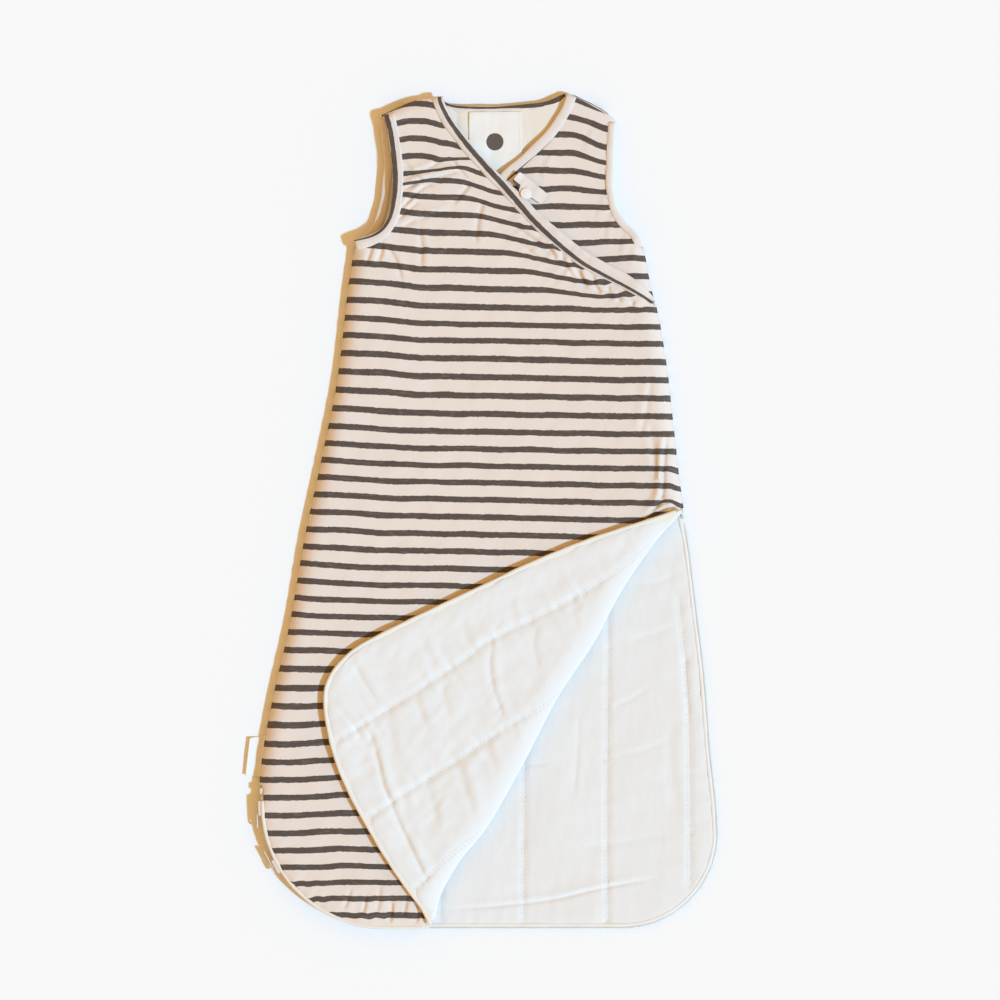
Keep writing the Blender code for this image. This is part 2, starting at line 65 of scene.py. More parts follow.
# The garment's outline, as in the frame's model.
HEM_LEFT_CENTRE = (-90.0, -266.0)
HEM_LEFT_RADIUS = 113.0
HEM_RIGHT_CENTRE = (125.0, -292.0)
HEM_RIGHT_RADIUS = 87.0
ZIP_START_Y = -250.0
LEFT_SIDE = [
    (-118, 235), (-124, 191), (-132.5, 119), (-147, 46), (-162.5, -26),
    (-175, -99), (-190, -165), (-199, -212), (-202.5, -238), (-203, -250),
]
RIGHT_HEM_SIDE = [(212, -292), (210, -262), (205, -215), (200, -150), (193, -92), (186, -35), (180, -1)]
RIGHT_SIDE = [(180, -1), (174, 46), (166, 119), (158, 172), (150, 203), (145.5, 228), (143, 240.5)]
LEFT_SHOULDER = [(-42, 375), (-62, 371.5), (-82, 363), (-93, 358)]
RIGHT_SHOULDER = [(119, 353), (111, 360), (100, 367), (80.5, 376.5), (74, 378.5)]
BACK_NECK = [(-43, 374.5), (-28, 368), (0, 366.5), (28, 367.5), (54, 370.5), (73, 378)]
WRAP_EDGE = [
    (-41, 375), (-39, 367), (-29, 349), (-8, 322), (21, 290), (47, 260), (82, 229), (105, 215),
    (127, 203.5), (141, 195.5), (152, 188.5),
]
UNDER_EDGE = [
    (75, 377.5), (69, 362), (59, 347), (44, 331), (16, 306), (-18, 272), (-50, 240), (-84, 215), (-110, 199),
]
LEFT_ARM_FRONT = [
    (-91, 358), (-86.5, 340), (-83, 312), (-82.5, 295), (-84, 279),
    (-87, 266), (-94, 255), (-104, 249), (-118, 245),
]
LEFT_ARM_BACK = [
    (-96, 356), (-92.5, 335), (-91, 315), (-93, 294), (-96, 276),
    (-100, 262), (-108, 252), (-119, 243),
]
RIGHT_ARM = [
    (118, 352), (117, 327), (116, 304), (117, 286), (120.5, 272), (128, 261), (137, 252), (144, 240),
]

# The corner's hinge line, and the curve that the turned-up cloth really folds along.
FOLD_TOP = np.array([179.7, -0.9])
FOLD_BOTTOM = np.array([-48.3, -377.0])
FOLD_CURVE = [
    (180.5, 0.5), (157, -25), (125.5, -70), (98.5, -120), (66.5, -168.5), (35, -229),
    (3, -285), (-21, -315), (-38, -344), (-44, -365), (-48.5, -378.5),
]
# The edge of the turned-up corner, from the bottom of the fold round to its top.
CORNER_RIM = [
    (-47, -381), (-50.1, -375.6), (-58.3, -359.3), (-73.7, -338.5), (-90, -314), (-105.8, -287.8),
    (-121.6, -258.8), (-135.2, -227.2), (-143.4, -194.6), (-146.1, -168.3), (-141.5, -149.8),
    (-129.8, -133.9), (-113.5, -120.4), (-79.1, -102.3), (-39.3, -83.3), (3.3, -63.4), (45.8, -43.4),
    (98.3, -22.6), (149, -6.3), (171, 1.2), (182, 2.5),
]
FOLD_LENGTH = float(np.linalg.norm(FOLD_TOP - FOLD_BOTTOM))
FOLD_ALONG = (FOLD_TOP - FOLD_BOTTOM) / FOLD_LENGTH
FOLD_OUT = np.array([FOLD_ALONG[1], -FOLD_ALONG[0]])
FOLD_HEIGHT = 15.15
FOLD_TOP_HEIGHT = 16.1
ROLL_RADIUS = 4.3
ROLL_TUCK = 9.0
FOLD_SLOPE = 17.0
FRONT_INSET = 0.9
BRIDGE_INSET = 1.6

# Heights of the cloths above the floor.
SEAM_HEIGHT = 5.0
BACK_TOP = 3.3
BACK_PUFF = 1.7
NECK_RISE = 2.8
UNDER_TOP = 11.4
FRONT_TOP = 15.0
FLAP_UNDER = 15.4
FLAP_TOP = 19.4
SHELL_THICKNESS = 0.6
LINING_THICKNESS = 0.5
CLOTH_STEP = 3.0
HIDDEN_STEP = 4.0
COARSE_STEP = 6.0
HEM_INSET = 3.0
LINING_HEM_INSET = 5.0

# The print: brushed stripes, this far apart.
STRIPE_PITCH = 16.0
# Height on the body against the number of the stripe there.
STRIPE_HEIGHTS = (-404.0, 137.6, 270.6, 302.0, 400.0)
STRIPE_NUMBERS = (-34.1, 0.0, 8.0, 10.0, 16.2)
# How far the worn cloth lets its stripes sag, at these places across and up the body.
SAG_ACROSS = (-167.0, -131.0, -94.5, -58.0, 14.0, 123.0)
SAG_UP = (-365.6, -306.8, -225.0, -171.0, -116.7, -53.4, 0.9, 73.3, 145.7, 182.0)
SAGS = (
    (-2.7, -5.1, -5.1, -5.1, -4.5, -4.5),
    (0.0, -1.8, -0.9, -0.9, -0.9, -0.9),
    (-0.5, -3.2, -3.6, -3.6, -2.7, 0.0),
    (-3.6, -4.5, -4.5, -3.6, -2.7, 0.0),
    (-7.2, -5.4, -5.4, -4.5, -2.7, 0.0),
    (-5.9, -3.4, -1.4, -1.4, 0.0, 2.7),
    (-5.0, -4.3, -1.6, -0.8, 0.5, 3.2),
    (-4.5, -2.7, 0.0, 1.8, 2.7, 4.5),
    (-6.3, -5.4, -4.3, -0.9, 0.0, 2.7),
    (-4.5, -4.5, -2.5, 1.8, 3.6, 5.4),
)


# ---------------------------------------------------------------- lines in the plane


def smooth(points, step=2.0):
    """A smooth line through the points (Catmull-Rom), with even steps."""
    knots = np.array(points, float)
    ends = np.vstack([2 * knots[0] - knots[1], knots, 2 * knots[-1] - knots[-2]])
    t = np.linspace(0, 1, 12, endpoint=False)[:, None]
    spans = []
    for before, start, end, after in zip(ends, ends[1:], ends[2:], ends[3:]):
        bend = 2 * before - 5 * start + 4 * end - after
        twist = 3 * start - before - 3 * end + after
        spans.append(0.5 * (2 * start + (end - before) * t + bend * t**2 + twist * t**3))
    return resample(np.vstack([*spans, knots[-1:]]), step)


def lengths(line):
    """The distance along a line to each of its points."""
    return np.concatenate([[0], np.cumsum(np.linalg.norm(np.diff(line, axis=0), axis=1))])


def resample(line, step):
    """The line again, with points about one step apart."""
    along = lengths(line)
    count = max(2, round(along[-1] / step) + 1)
    at = np.linspace(0, along[-1], count)
    return np.stack([np.interp(at, along, line[:, k]) for k in range(line.shape[1])], axis=1)


def arc(centre, radius, start, end, step=1.5):
    """Points round a centre from one bearing to another, in degrees."""
    count = max(2, round(abs(end - start) / step))
    b = np.radians(np.linspace(start, end, count + 1))
    return np.array(centre) + radius * np.stack([np.cos(b), np.sin(b)], axis=1)


def normals(line):
    """Unit directions to the left of the way a line runs."""
    along = np.gradient(line, axis=0)
    along /= np.maximum(np.linalg.norm(along, axis=1), 1e-9)[:, None]
    return np.stack([-along[:, 1], along[:, 0]], axis=1)


def beside(line, distance):
    """The line moved to its left by a distance, which may change along it."""
    return line + normals(line) * np.reshape(distance, (-1, 1))


def nearest(points, line):
    """For each point: its distance from the line, how far along that is, and its signed side (left +)."""
    best = np.full(len(points), 1e12)
    along = np.zeros(len(points))
    side = np.zeros(len(points))
    starts = lengths(line)
    for i, (a, b) in enumerate(zip(line[:-1], line[1:])):
        step = b - a
        size = max(float(step @ step), 1e-12)
        off = points - a
        t = np.clip(off @ step / size, 0, 1)
        gap = ((off - t[:, None] * step) ** 2).sum(1)
        nearer = gap < best
        best[nearer] = gap[nearer]
        along[nearer] = starts[i] + t[nearer] * math.sqrt(size)
        side[nearer] = (step[0] * off[:, 1] - step[1] * off[:, 0])[nearer]
    return np.sqrt(best), along, np.sign(side)


def inside(points, outline):
    """Whether each point is inside a closed outline."""
    found = np.zeros(len(points), bool)
    x, y = points[:, 0], points[:, 1]
    for (ax, ay), (bx, by) in zip(outline, np.roll(outline, -1, axis=0)):
        if ay == by:
            continue
        crosses = (ay > y) != (by > y)
        found ^= crosses & (x < ax + (y - ay) * (bx - ax) / (by - ay))
    return found


def area_of(outline):
    """The signed area inside a closed outline, positive where it runs anticlockwise."""
    following = np.roll(outline, -1, axis=0)
    return 0.5 * float((outline[:, 0] * following[:, 1] - outline[:, 1] * following[:, 0]).sum())


def ease(value, low, high):
    """0 below low, 1 above high, smooth in between."""
    t = np.clip((value - low) / (high - low), 0, 1)
    return t * t * (3 - 2 * t)


def past_fold(points):
    """How far points lie beyond the hinge line, towards the lower right corner."""
    return (points - FOLD_TOP) @ FOLD_OUT


def up_fold(points):
    """How far points lie along the hinge line, from its bottom end."""
    return (points - FOLD_BOTTOM) @ FOLD_ALONG


def folded_over(points):
    """Points mirrored across the hinge line."""
    return points - 2 * past_fold(points)[:, None] * FOLD_OUT


FOLD_LINE = smooth(FOLD_CURVE)


def fold_edge(up):
    """How far the real fold lies past the hinge line (it is negative), this far up the hinge line."""
    line = FOLD_LINE[::-1]
    return np.interp(up, up_fold(line), past_fold(line))


def cut_at(outline, beyond, inset):
    """The part of an outline on one side of the real fold, short of it by an inset."""
    outline = resample(np.vstack([outline, outline[:1]]), CLOTH_STEP)[:-1]
    q = past_fold(outline)
    edge = fold_edge(up_fold(outline))
    kept = q > -edge + inset if beyond else q < edge - inset
    first = int(np.flatnonzero(kept & ~np.roll(kept, 1))[0])
    run = np.roll(outline, -first, axis=0)[: int(kept.sum())]
    ups = up_fold(run[[-1, 0]])
    climb = resample(np.array([[ups[0], 0.0], [ups[1], 0.0]]), CLOTH_STEP)[1:-1, 0]
    sign = 1 if beyond else -1
    across = sign * (inset - fold_edge(climb))
    return np.vstack([run, FOLD_BOTTOM + climb[:, None] * FOLD_ALONG + across[:, None] * FOLD_OUT])


# ---------------------------------------------------------------- outlines


def hem_left(inset):
    """The hem from the start of the zip, round the left corner, to the fold."""
    start = np.array([[HEM_LEFT_CENTRE[0] - HEM_LEFT_RADIUS + inset, ZIP_START_Y]])
    corner = arc(HEM_LEFT_CENTRE, HEM_LEFT_RADIUS - inset, 180, 270)
    bottom = np.array([[FOLD_BOTTOM[0], HEM_LEFT_CENTRE[1] - HEM_LEFT_RADIUS + inset]])
    return np.vstack([start, corner, bottom])


def hem_right(inset):
    """The hem from the fold, round the right corner and up to the end of the zip."""
    bottom = np.array([[FOLD_BOTTOM[0], HEM_RIGHT_CENTRE[1] - HEM_RIGHT_RADIUS + inset]])
    corner = arc(HEM_RIGHT_CENTRE, HEM_RIGHT_RADIUS - inset, 270, 360)
    side = beside(smooth(RIGHT_HEM_SIDE), inset)
    return np.vstack([bottom, corner, side[1:]])


def hem(inset):
    """The whole hem, from the left end of the zip to its right end."""
    return resample(np.vstack([hem_left(inset), hem_right(inset)[1:]]), 2.0)


def back_outline(hem_inset=HEM_INSET):
    """The back panel, from the top of the left side round to the left armhole."""
    return np.vstack([
        smooth(LEFT_SIDE)[1:-1], hem(hem_inset), smooth(RIGHT_SIDE)[2:-1],
        beside(smooth(RIGHT_ARM), -4)[::-1][1:-1], smooth(RIGHT_SHOULDER),
        beside(smooth(BACK_NECK), -3)[::-1][1:-1], smooth(LEFT_SHOULDER)[1:-1],
        beside(smooth(LEFT_ARM_BACK), 4)[1:-1],
    ])


def front_outline():
    """The left front before its corner is turned up, out to the wrap edge."""
    side = smooth(RIGHT_SIDE)
    return np.vstack([
        smooth(LEFT_SIDE)[1:-1], hem(HEM_INSET), side[(side[:, 1] > 4) & (side[:, 1] < 188)],
        beside(smooth(WRAP_EDGE), -1)[::-1][2:-1], smooth(LEFT_SHOULDER)[2:-1],
        beside(smooth(LEFT_ARM_FRONT), 4)[1:-1],
    ])


def under_outline():
    """The right front, which passes under the wrap to the left side."""
    left, right = smooth(LEFT_SIDE), smooth(RIGHT_SIDE)
    right = right - np.outer(15 * (1 - ease(right[:, 1], 181, 197)), (1, 0))
    return np.vstack([
        left[(left[:, 1] > 150) & (left[:, 1] < 190)] + (17, 0), right[right[:, 1] > 150][:-1],
        beside(smooth(RIGHT_ARM), -4)[::-1][1:-1], smooth(RIGHT_SHOULDER)[1:-1],
        beside(smooth(UNDER_EDGE), 4)[1:-1],
    ])


# ---------------------------------------------------------------- cloth heights


def waves(points, length, seed, stretch=(1.0, 1.0), count=7):
    """Even, seeded ripples of about this wavelength, from -1 to 1."""
    rng = np.random.default_rng(seed)
    bearing = rng.uniform(0, math.pi, count)
    size = 2 * math.pi / (length * rng.uniform(0.75, 1.35, count))
    phase = rng.uniform(0, 2 * math.pi, count)
    flat = points / np.array(stretch)
    turn = np.outer(flat[:, 0], np.cos(bearing) * size) + np.outer(flat[:, 1], np.sin(bearing) * size)
    return np.sin(turn + phase).sum(1) / count * 1.6


def wrinkles(points, bearing, across, along, height, seed):
    """Long fine wrinkles that run this way (degrees from +Y), in uneven patches."""
    b = math.radians(bearing)
    x, y = points[:, 0], points[:, 1]
    rotated = np.stack([x * math.cos(b) - y * math.sin(b), x * math.sin(b) + y * math.cos(b)], axis=1)
    patches = 0.5 + 0.5 * np.clip(waves(points, 70, seed + 1), -1, 1)
    ridges = waves(rotated * (1, across / along), across, seed, (1, 1), 9)
    return height * patches * (1 - 1.6 * np.abs(ridges))


def crease(points, line, width, depth, lean=0.0):
    """A furrow along a line, deepest at the middle of it. Lean raises a ridge on the line's left."""
    path = smooth(line)
    distance, along, side = nearest(points, path)
    total = lengths(path)[-1]
    ends = ease(along, 0, 0.25 * total) * ease(total - along, 0, 0.25 * total)
    signed = distance * side
    furrow = -np.exp(-((signed / width) ** 2))
    ridge = lean * np.exp(-(((signed - 1.6 * width) / (1.5 * width)) ** 2))
    return depth * ends * (furrow + ridge)


def channel(points, line, width, depth):
    """A sewn channel: a furrow as deep all along, pinched at uneven stitches."""
    distance, along, _ = nearest(points, smooth(line))
    pinch = 1 + 0.35 * np.sin(along * 2 * math.pi / 13.0) * np.sin(along * 2 * math.pi / 31.0 + 1)
    return -depth * pinch * np.exp(-((distance / width) ** 2))


def puckers(points, line, gap, reach, height, seed, lead=8):
    """Little folds that leave a seam at right angles and die out with distance."""
    path = smooth(line)
    distance, along, _ = nearest(points, path)
    total = lengths(path)[-1]
    wander = 0.35 * gap * waves(points, 5 * gap, seed)
    ups = np.sin(2 * math.pi * (along + wander) / gap)
    ups += 0.5 * np.sin(2 * math.pi * along / (gap * 0.61) + seed)
    strength = 0.55 + 0.45 * waves(np.stack([along, 0 * along], axis=1), 4 * gap, seed + 1)
    fade = np.exp(-distance / reach) * ease(along, 0, lead) * ease(total - along, 0, 8)
    return height * ups * strength * fade


def drop(distance, width):
    """1 at an edge, falling to 0 at this distance from it along a quarter round."""
    t = np.clip(distance / width, 0, 1)
    return 1 - np.sqrt(np.clip(1 - (1 - t) ** 2, 0, 1))


SEAMS = {}


def seam_distance(points, name):
    """The distance from one of the garment's edges."""
    if not SEAMS:
        SEAMS.update(
            left=smooth(LEFT_SIDE), right=smooth(RIGHT_SIDE), shoulder=smooth(LEFT_SHOULDER),
            right_shoulder=smooth(RIGHT_SHOULDER), hem=hem(HEM_INSET), wrap=smooth(WRAP_EDGE),
            arm=smooth(LEFT_ARM_FRONT), right_arm=smooth(RIGHT_ARM), under=smooth(UNDER_EDGE),
            neck=smooth(BACK_NECK), arm_back=smooth(LEFT_ARM_BACK), rim=hem(0.0),
        )
    return nearest(points, SEAMS[name])[0]


# Creases in the left front: (line, width, depth, lean).
FRONT_CREASES = (
    ([(-78, 288), (-62, 297), (-42, 303), (-16, 309)], 1.6, 1.5, 0.9),
    ([(-78, 270), (-66, 284), (-52, 295), (-38, 299)], 1.5, 1.2, 0.8),
    ([(-80, 262), (-70, 272), (-58, 281)], 1.5, 1.0, 0.8),
    ([(-74, 316), (-58, 300), (-44, 292)], 1.6, 0.8, 0.7),
    ([(-30, 318), (-22, 308), (-14, 300)], 1.5, 0.8, 0.8),
    ([(-10, 300), (-18, 290), (-30, 276)], 1.8, 0.7, 0.6),
    ([(-100, 246), (-104, 232), (-108, 220)], 2.0, 1.0, 0.8),
    ([(-92, 250), (-93, 236), (-97, 224)], 1.8, 0.8, 0.8),
    ([(20, 262), (40, 248), (58, 236), (72, 226)], 2.2, 1.3, 0.8),
    ([(10, 252), (34, 240), (52, 226)], 2.5, 0.8, 0.7),
    ([(52, 246), (60, 236), (66, 224)], 1.5, 0.9, 0.9),
    ([(70, 234), (74, 222), (82, 210)], 1.5, 1.1, 0.9),
    ([(84, 222), (88, 212), (94, 200)], 1.5, 1.2, 0.9),
    ([(98, 214), (100, 205), (106, 195)], 1.5, 1.1, 0.9),
    ([(112, 206), (113, 198), (116, 190)], 1.5, 0.8, 0.9),
    ([(-58, -352), (-60, -364), (-63, -377)], 1.6, 0.8, 0.8),
    ([(-69, -340), (-71, -354), (-74, -371)], 1.9, 0.7, 0.8),
    ([(-84, -351), (-84, -362), (-86, -374)], 1.6, 0.9, 0.8),
    ([(-95, -336), (-95, -350), (-98, -366)], 2.0, 0.5, 0.8),
    ([(-107, -346), (-108, -356), (-111, -367)], 1.6, 0.7, 0.8),
    ([(-121, -340), (-123, -350), (-128, -361)], 1.7, 0.5, 0.8),
    ([(143, -8), (151, 0), (158, 8), (161, 20), (162, 44), (165, 74)], 2.0, 2.1, 1.1),
    ([(152, -4), (162, 1), (173, 5)], 1.5, 1.3, 1.0),
    ([(160, 9), (167, 8), (175, 6)], 1.4, 0.9, 0.9),
    ([(-76, 306), (-64, 306), (-50, 311), (-36, 320)], 1.5, 1.0, 0.8),
    ([(-79, 254), (-66, 262), (-48, 268), (-26, 272)], 1.8, 0.9, 0.8),
    ([(-90, 243), (-80, 226), (-74, 206)], 2.0, 0.8, 0.8),
    ([(-60, 262), (-57, 240), (-58, 216)], 2.4, 0.7, 0.7),
    ([(0, 285), (-6, 262), (-8, 238)], 2.2, 0.7, 0.7),
    ([(122, 202), (122, 195), (124, 187)], 1.4, 0.8, 0.9),
    ([(132, 197), (133, 190), (136, 183)], 1.4, 0.7, 0.9),
    ([(76, 226), (92, 206), (112, 196), (136, 192)], 1.6, 1.0, 0.9),
    ([(140, 66), (147, 96), (152, 128)], 2.6, 0.6, 0.8),
    ([(156, 30), (152, 56), (150, 84)], 2.6, 0.5, 0.8),
)


def front_height(points, gather=1.0):
    """The top of the left front. Gather scales the small folds along its bound edges."""
    y = points[:, 1]
    z = np.full(len(points), FRONT_TOP)
    seam = np.minimum(seam_distance(points, "left"), seam_distance(points, "right"))
    z -= (FRONT_TOP - SEAM_HEIGHT) * drop(seam, 15) * ease(y, -262, -236)
    z -= 2.6 * drop(seam_distance(points, "hem"), 9)
    z -= 5.5 * drop(seam_distance(points, "shoulder"), 9)
    z -= 1.0 * drop(seam_distance(points, "wrap"), 9)
    z -= 1.0 * drop(seam_distance(points, "arm"), 9)
    clear = ease(seam, 4, 30) * covered(points)
    bumps = 0.55 * waves(points, 85, 3, (1.3, 1)) + 0.3 * waves(points, 34, 5) + 0.12 * waves(points, 15, 8)
    z += clear * bumps
    for line, width, depth, lean in FRONT_CREASES:
        z += gather * crease(points, line, 1.1 * width, 1.6 * depth, lean)
    z += puckers(points, LEFT_SIDE, 17, 12, 0.35, 11)
    z += gather * puckers(points, LEFT_ARM_FRONT, 9, 12, 0.45, 12)
    z += gather * np.minimum(puckers(points, WRAP_EDGE[4:], 11, 15, 1.7, 13, 30), 0.3)
    z += puckers(points, hem_left(0)[::12], 11, 11, 0.7, 14)
    z += puckers(points, RIGHT_SIDE[:-2], 19, 12, 0.35, 15)
    return z


def covered(points):
    """1 where the front is free, and 0 where the turned-up corner lies on it."""
    depth = nearest(points, FLAP_LOOP)[0]
    hidden = inside(points, FLAP_LOOP)
    return np.where(hidden, 1 - ease(depth, 0, 14), 1.0)


UNDER_CREASES = (
    ([(62, 330), (52, 312), (50, 296)], 1.6, 0.8, 0.8),
    ([(112, 296), (104, 280), (98, 262)], 1.8, 0.7, 0.8),
    ([(116, 274), (110, 258), (108, 240)], 1.8, 0.9, 0.8),
    ([(128, 256), (124, 244), (120, 232)], 1.6, 0.9, 0.8),
    ([(134, 246), (132, 234), (128, 220)], 1.6, 0.8, 0.8),
    ([(100, 352), (92, 340), (88, 324)], 1.8, 0.6, 0.8),
)


def under_height(points):
    """The top of the right front, under the wrap."""
    y = points[:, 1]
    z = np.full(len(points), UNDER_TOP)
    z -= 6.0 * drop(seam_distance(points, "right"), 12) * ease(y, 178, 200)
    z -= 5.4 * drop(seam_distance(points, "right_shoulder"), 12)
    z -= 0.8 * drop(seam_distance(points, "right_arm"), 9)
    z -= 0.8 * drop(seam_distance(points, "under"), 9)
    shown = ease(nearest(points, SEAMS["wrap"])[2] * seam_distance(points, "wrap"), 4, 20)
    z += shown * (0.4 * waves(points, 45, 23) + 0.18 * waves(points, 20, 25))
    for line, width, depth, lean in UNDER_CREASES:
        z += crease(points, line, width, depth, lean)
    z += puckers(points, RIGHT_ARM, 9, 11, 0.4, 26)
    return z


# Sewn channels in the back lining, and its creases.
BACK_CHANNELS = (
    [(35, -372), (35.5, -300), (36, -232), (37, -100), (38, 60), (40, 330)],
    [(111, -374), (111, -240), (112, -100), (109, 40), (104, 330)],
    [(186, -340), (186, -250), (184, -165), (176, -80)],
    [(-40, -372), (-40, -100), (-38, 200), (-25, 362)],
    [(-115, -370), (-115, -200), (-100, 60), (-80, 240)],
)
BACK_CREASES = (
    ([(-42, -361), (10, -358), (62, -352), (105, -342), (150, -334), (165, -329)], 1.5, 2.8, 0.7),
    ([(112, -180), (130, -172), (150, -160)], 2.0, 0.8, 0.7),
    ([(110, -224), (140, -218), (172, -206)], 2.2, 0.7, 0.7),
    ([(171, -183), (168, -220), (172, -256), (180, -284)], 4.0, 1.0, 0.8),
    ([(86, -187), (84, -215), (82, -256)], 2.0, 0.7, 0.8),
    ([(60, -228), (44, -230), (34, -226)], 1.8, 0.8, 0.8),
    ([(118, -62), (150, -66), (178, -56)], 2.2, 0.7, 0.7),
    ([(128, -120), (150, -112), (176, -104)], 2.4, 0.6, 0.7),
    ([(66, -300), (96, -304), (140, -298), (186, -290)], 2.4, 0.5, 0.7),
    ([(190, -118), (181, -150), (186, -190)], 2.6, 0.9, 0.8),
)


def back_height(points):
    """The top of the back lining."""
    z = np.full(len(points), BACK_TOP + BACK_PUFF)
    hem_gap = seam_distance(points, "hem")
    z -= 0.5 * drop(hem_gap - 2, 10)
    z -= 1.6 * drop(np.minimum(seam_distance(points, "left"), seam_distance(points, "right")), 10)
    z -= 1.4 * drop(seam_distance(points, "neck"), 8)
    z += 0.45 * waves(points, 75, 31) + 0.22 * waves(points, 28, 33) + 0.1 * waves(points, 12, 35)
    z += wrinkles(points, 4.0, 9.0, 60.0, 0.16, 38)
    z += NECK_RISE * ease(points[:, 1], 296, 336)
    z += 2.6 * (1 - ease(seam_distance(points, "arm_back"), 0, 14))
    for line in BACK_CHANNELS:
        z += channel(points, line, 2.6, 1.1)
        z += puckers(points, line, 15, 9, 0.22, 36)
    for line, width, depth, lean in BACK_CREASES:
        z += crease(points, line, 1.25 * width, 0.5 * depth, 0.6 * lean)
    z += puckers(points, hem(HEM_INSET)[::16], 17, 12, 0.3, 37)
    return z


# Sewn channels and creases in the lining of the turned-up corner.
FLAP_CHANNELS = (
    [
        (-134, -208), (-116, -197), (-85, -178), (-61, -163), (-15, -132), (3, -118), (58, -91),
        (112, -60), (152, -30),
    ],
    [(-106, -280), (-98, -273), (-58, -246), (-25, -226), (19, -196), (52, -178), (69, -165)],
    [(-66, -346), (-50, -330), (-25, -307), (-4, -292)],
)
FLAP_CREASES = (
    ([(-108, -185), (-98, -218), (-88, -256), (-65, -307), (-48, -343), (-40, -360)], 1.7, 1.9, 0.9),
    ([(-121, -132), (-101, -167), (-88, -183)], 1.8, 1.1, 0.8),
    ([(-139, -170), (-119, -193), (-108, -212)], 2.0, 1.0, 0.8),
    ([(8, -112), (5, -142), (11, -170), (21, -193)], 1.8, 1.3, 0.9),
    ([(46, -99), (45, -126), (52, -148)], 2.2, 0.8, 0.7),
    ([(-63, -167), (-56, -186), (-48, -201)], 2.0, 1.2, 0.8),
    ([(-25, -224), (-17, -250), (-5, -284)], 2.6, 1.5, 0.9),
    ([(-40, -155), (-34, -176), (-30, -190)], 2.0, 1.0, 0.8),
    ([(-90, -181), (-84, -200), (-80, -222)], 2.2, 1.1, 0.8),
    ([(-52, -250), (-46, -268), (-40, -288)], 2.2, 1.0, 0.8),
    ([(-75, -262), (-70, -280), (-60, -300)], 2.2, 0.9, 0.8),
    ([(-60, -112), (-50, -130), (-44, -150)], 2.2, 0.8, 0.8),
    ([(-20, -96), (-16, -112), (-10, -126)], 2.0, 0.8, 0.8),
    ([(24, -76), (26, -92), (30, -104)], 2.0, 0.8, 0.8),
    ([(66, -58), (68, -72), (74, -84)], 2.0, 0.7, 0.8),
    ([(80, -80), (82, -98), (90, -116)], 2.2, 0.8, 0.8),
    ([(104, -42), (108, -54), (114, -62)], 1.8, 0.6, 0.8),
    ([(0, -200), (6, -222), (14, -240)], 2.2, 0.9, 0.8),
    ([(24, -190), (30, -206), (38, -218)], 2.0, 0.8, 0.8),
    ([(-14, -304), (-22, -318), (-30, -336)], 2.2, 0.9, 0.8),
)


def flap_height(points):
    """The top of the turned-up lining, where it lies flat."""
    edge = nearest(points, FLAP_RIM)[0]
    to_fold = fold_edge(up_fold(points)) - past_fold(points)
    z = np.full(len(points), FLAP_TOP + 1.2) + rim_lift(points)
    z -= 1.8 * drop(edge - 4, 12)
    free = ease(to_fold, 6, 24)
    bumps = 0.55 * waves(points, 60, 41) + 0.34 * waves(points, 26, 43) + 0.13 * waves(points, 12, 45)
    for line in FLAP_CHANNELS:
        bumps += channel(points, line, 2.6, 1.3)
        bumps += puckers(points, line, 14, 13, 0.55, 46)
    for line, width, depth, lean in FLAP_CREASES:
        bumps += crease(points, line, 1.6 * width, 0.6 * depth, lean)
    bumps += wrinkles(points, 24.0, 7.5, 42.0, 0.42, 48)
    bumps += puckers(points, FLAP_RIM[::16], 16, 10, 0.3, 47)
    z = np.maximum(z + free * bumps, FLAP_TOP - 1.6 + rim_lift(points))
    rise = np.sin(np.clip(to_fold / FOLD_SLOPE, 0, 1) * math.pi / 2) ** 0.7
    return FOLD_TOP_HEIGHT + (z - FOLD_TOP_HEIGHT) * rise


def rim_lift(points):
    """How far the turned-up corner's edge stands off the front."""
    edge = nearest(points, FLAP_RIM)[0]
    return 1.2 * (1 - ease(edge, 0, 26)) * ease(fold_edge(up_fold(points)) - past_fold(points), 3, 45)


FLAP_RIM = smooth(CORNER_RIM)


def flap_outline(inset, fold_inset=0.0):
    """The turned-up corner, in from its edge and in from the fold."""
    share = np.linspace(0, 1, len(FLAP_RIM))
    rim = beside(FLAP_RIM, -inset * (1 - 0.6 * ease(share, 0.93, 1)))
    return cut_at(rim[::-1], False, fold_inset)


FLAP_LOOP = flap_outline(0.0)


# ---------------------------------------------------------------- prints


def stripes_from(height):
    """The stripe number, as a length of cloth, at a height on the body."""
    return np.interp(height, STRIPE_HEIGHTS, STRIPE_NUMBERS) * STRIPE_PITCH


def sag(points):
    """How far the stripes have sunk at each point."""
    x, y = points[:, 0], points[:, 1]
    rows = np.array([np.interp(x, SAG_ACROSS, row) for row in SAGS])
    place = np.interp(y, SAG_UP, np.arange(len(SAG_UP)))
    below = np.minimum(place.astype(int), len(SAG_UP) - 2)
    share = ease(place - below, 0, 1)
    each = np.arange(len(points))
    return rows[below, each] * (1 - share) + rows[below + 1, each] * share


# The small crumple beside the top of the zip lies to the right of this place, across this way.
CRUMPLE_START = np.array([150.0, -1.0])
CRUMPLE_ACROSS = np.array([0.72, -0.69])


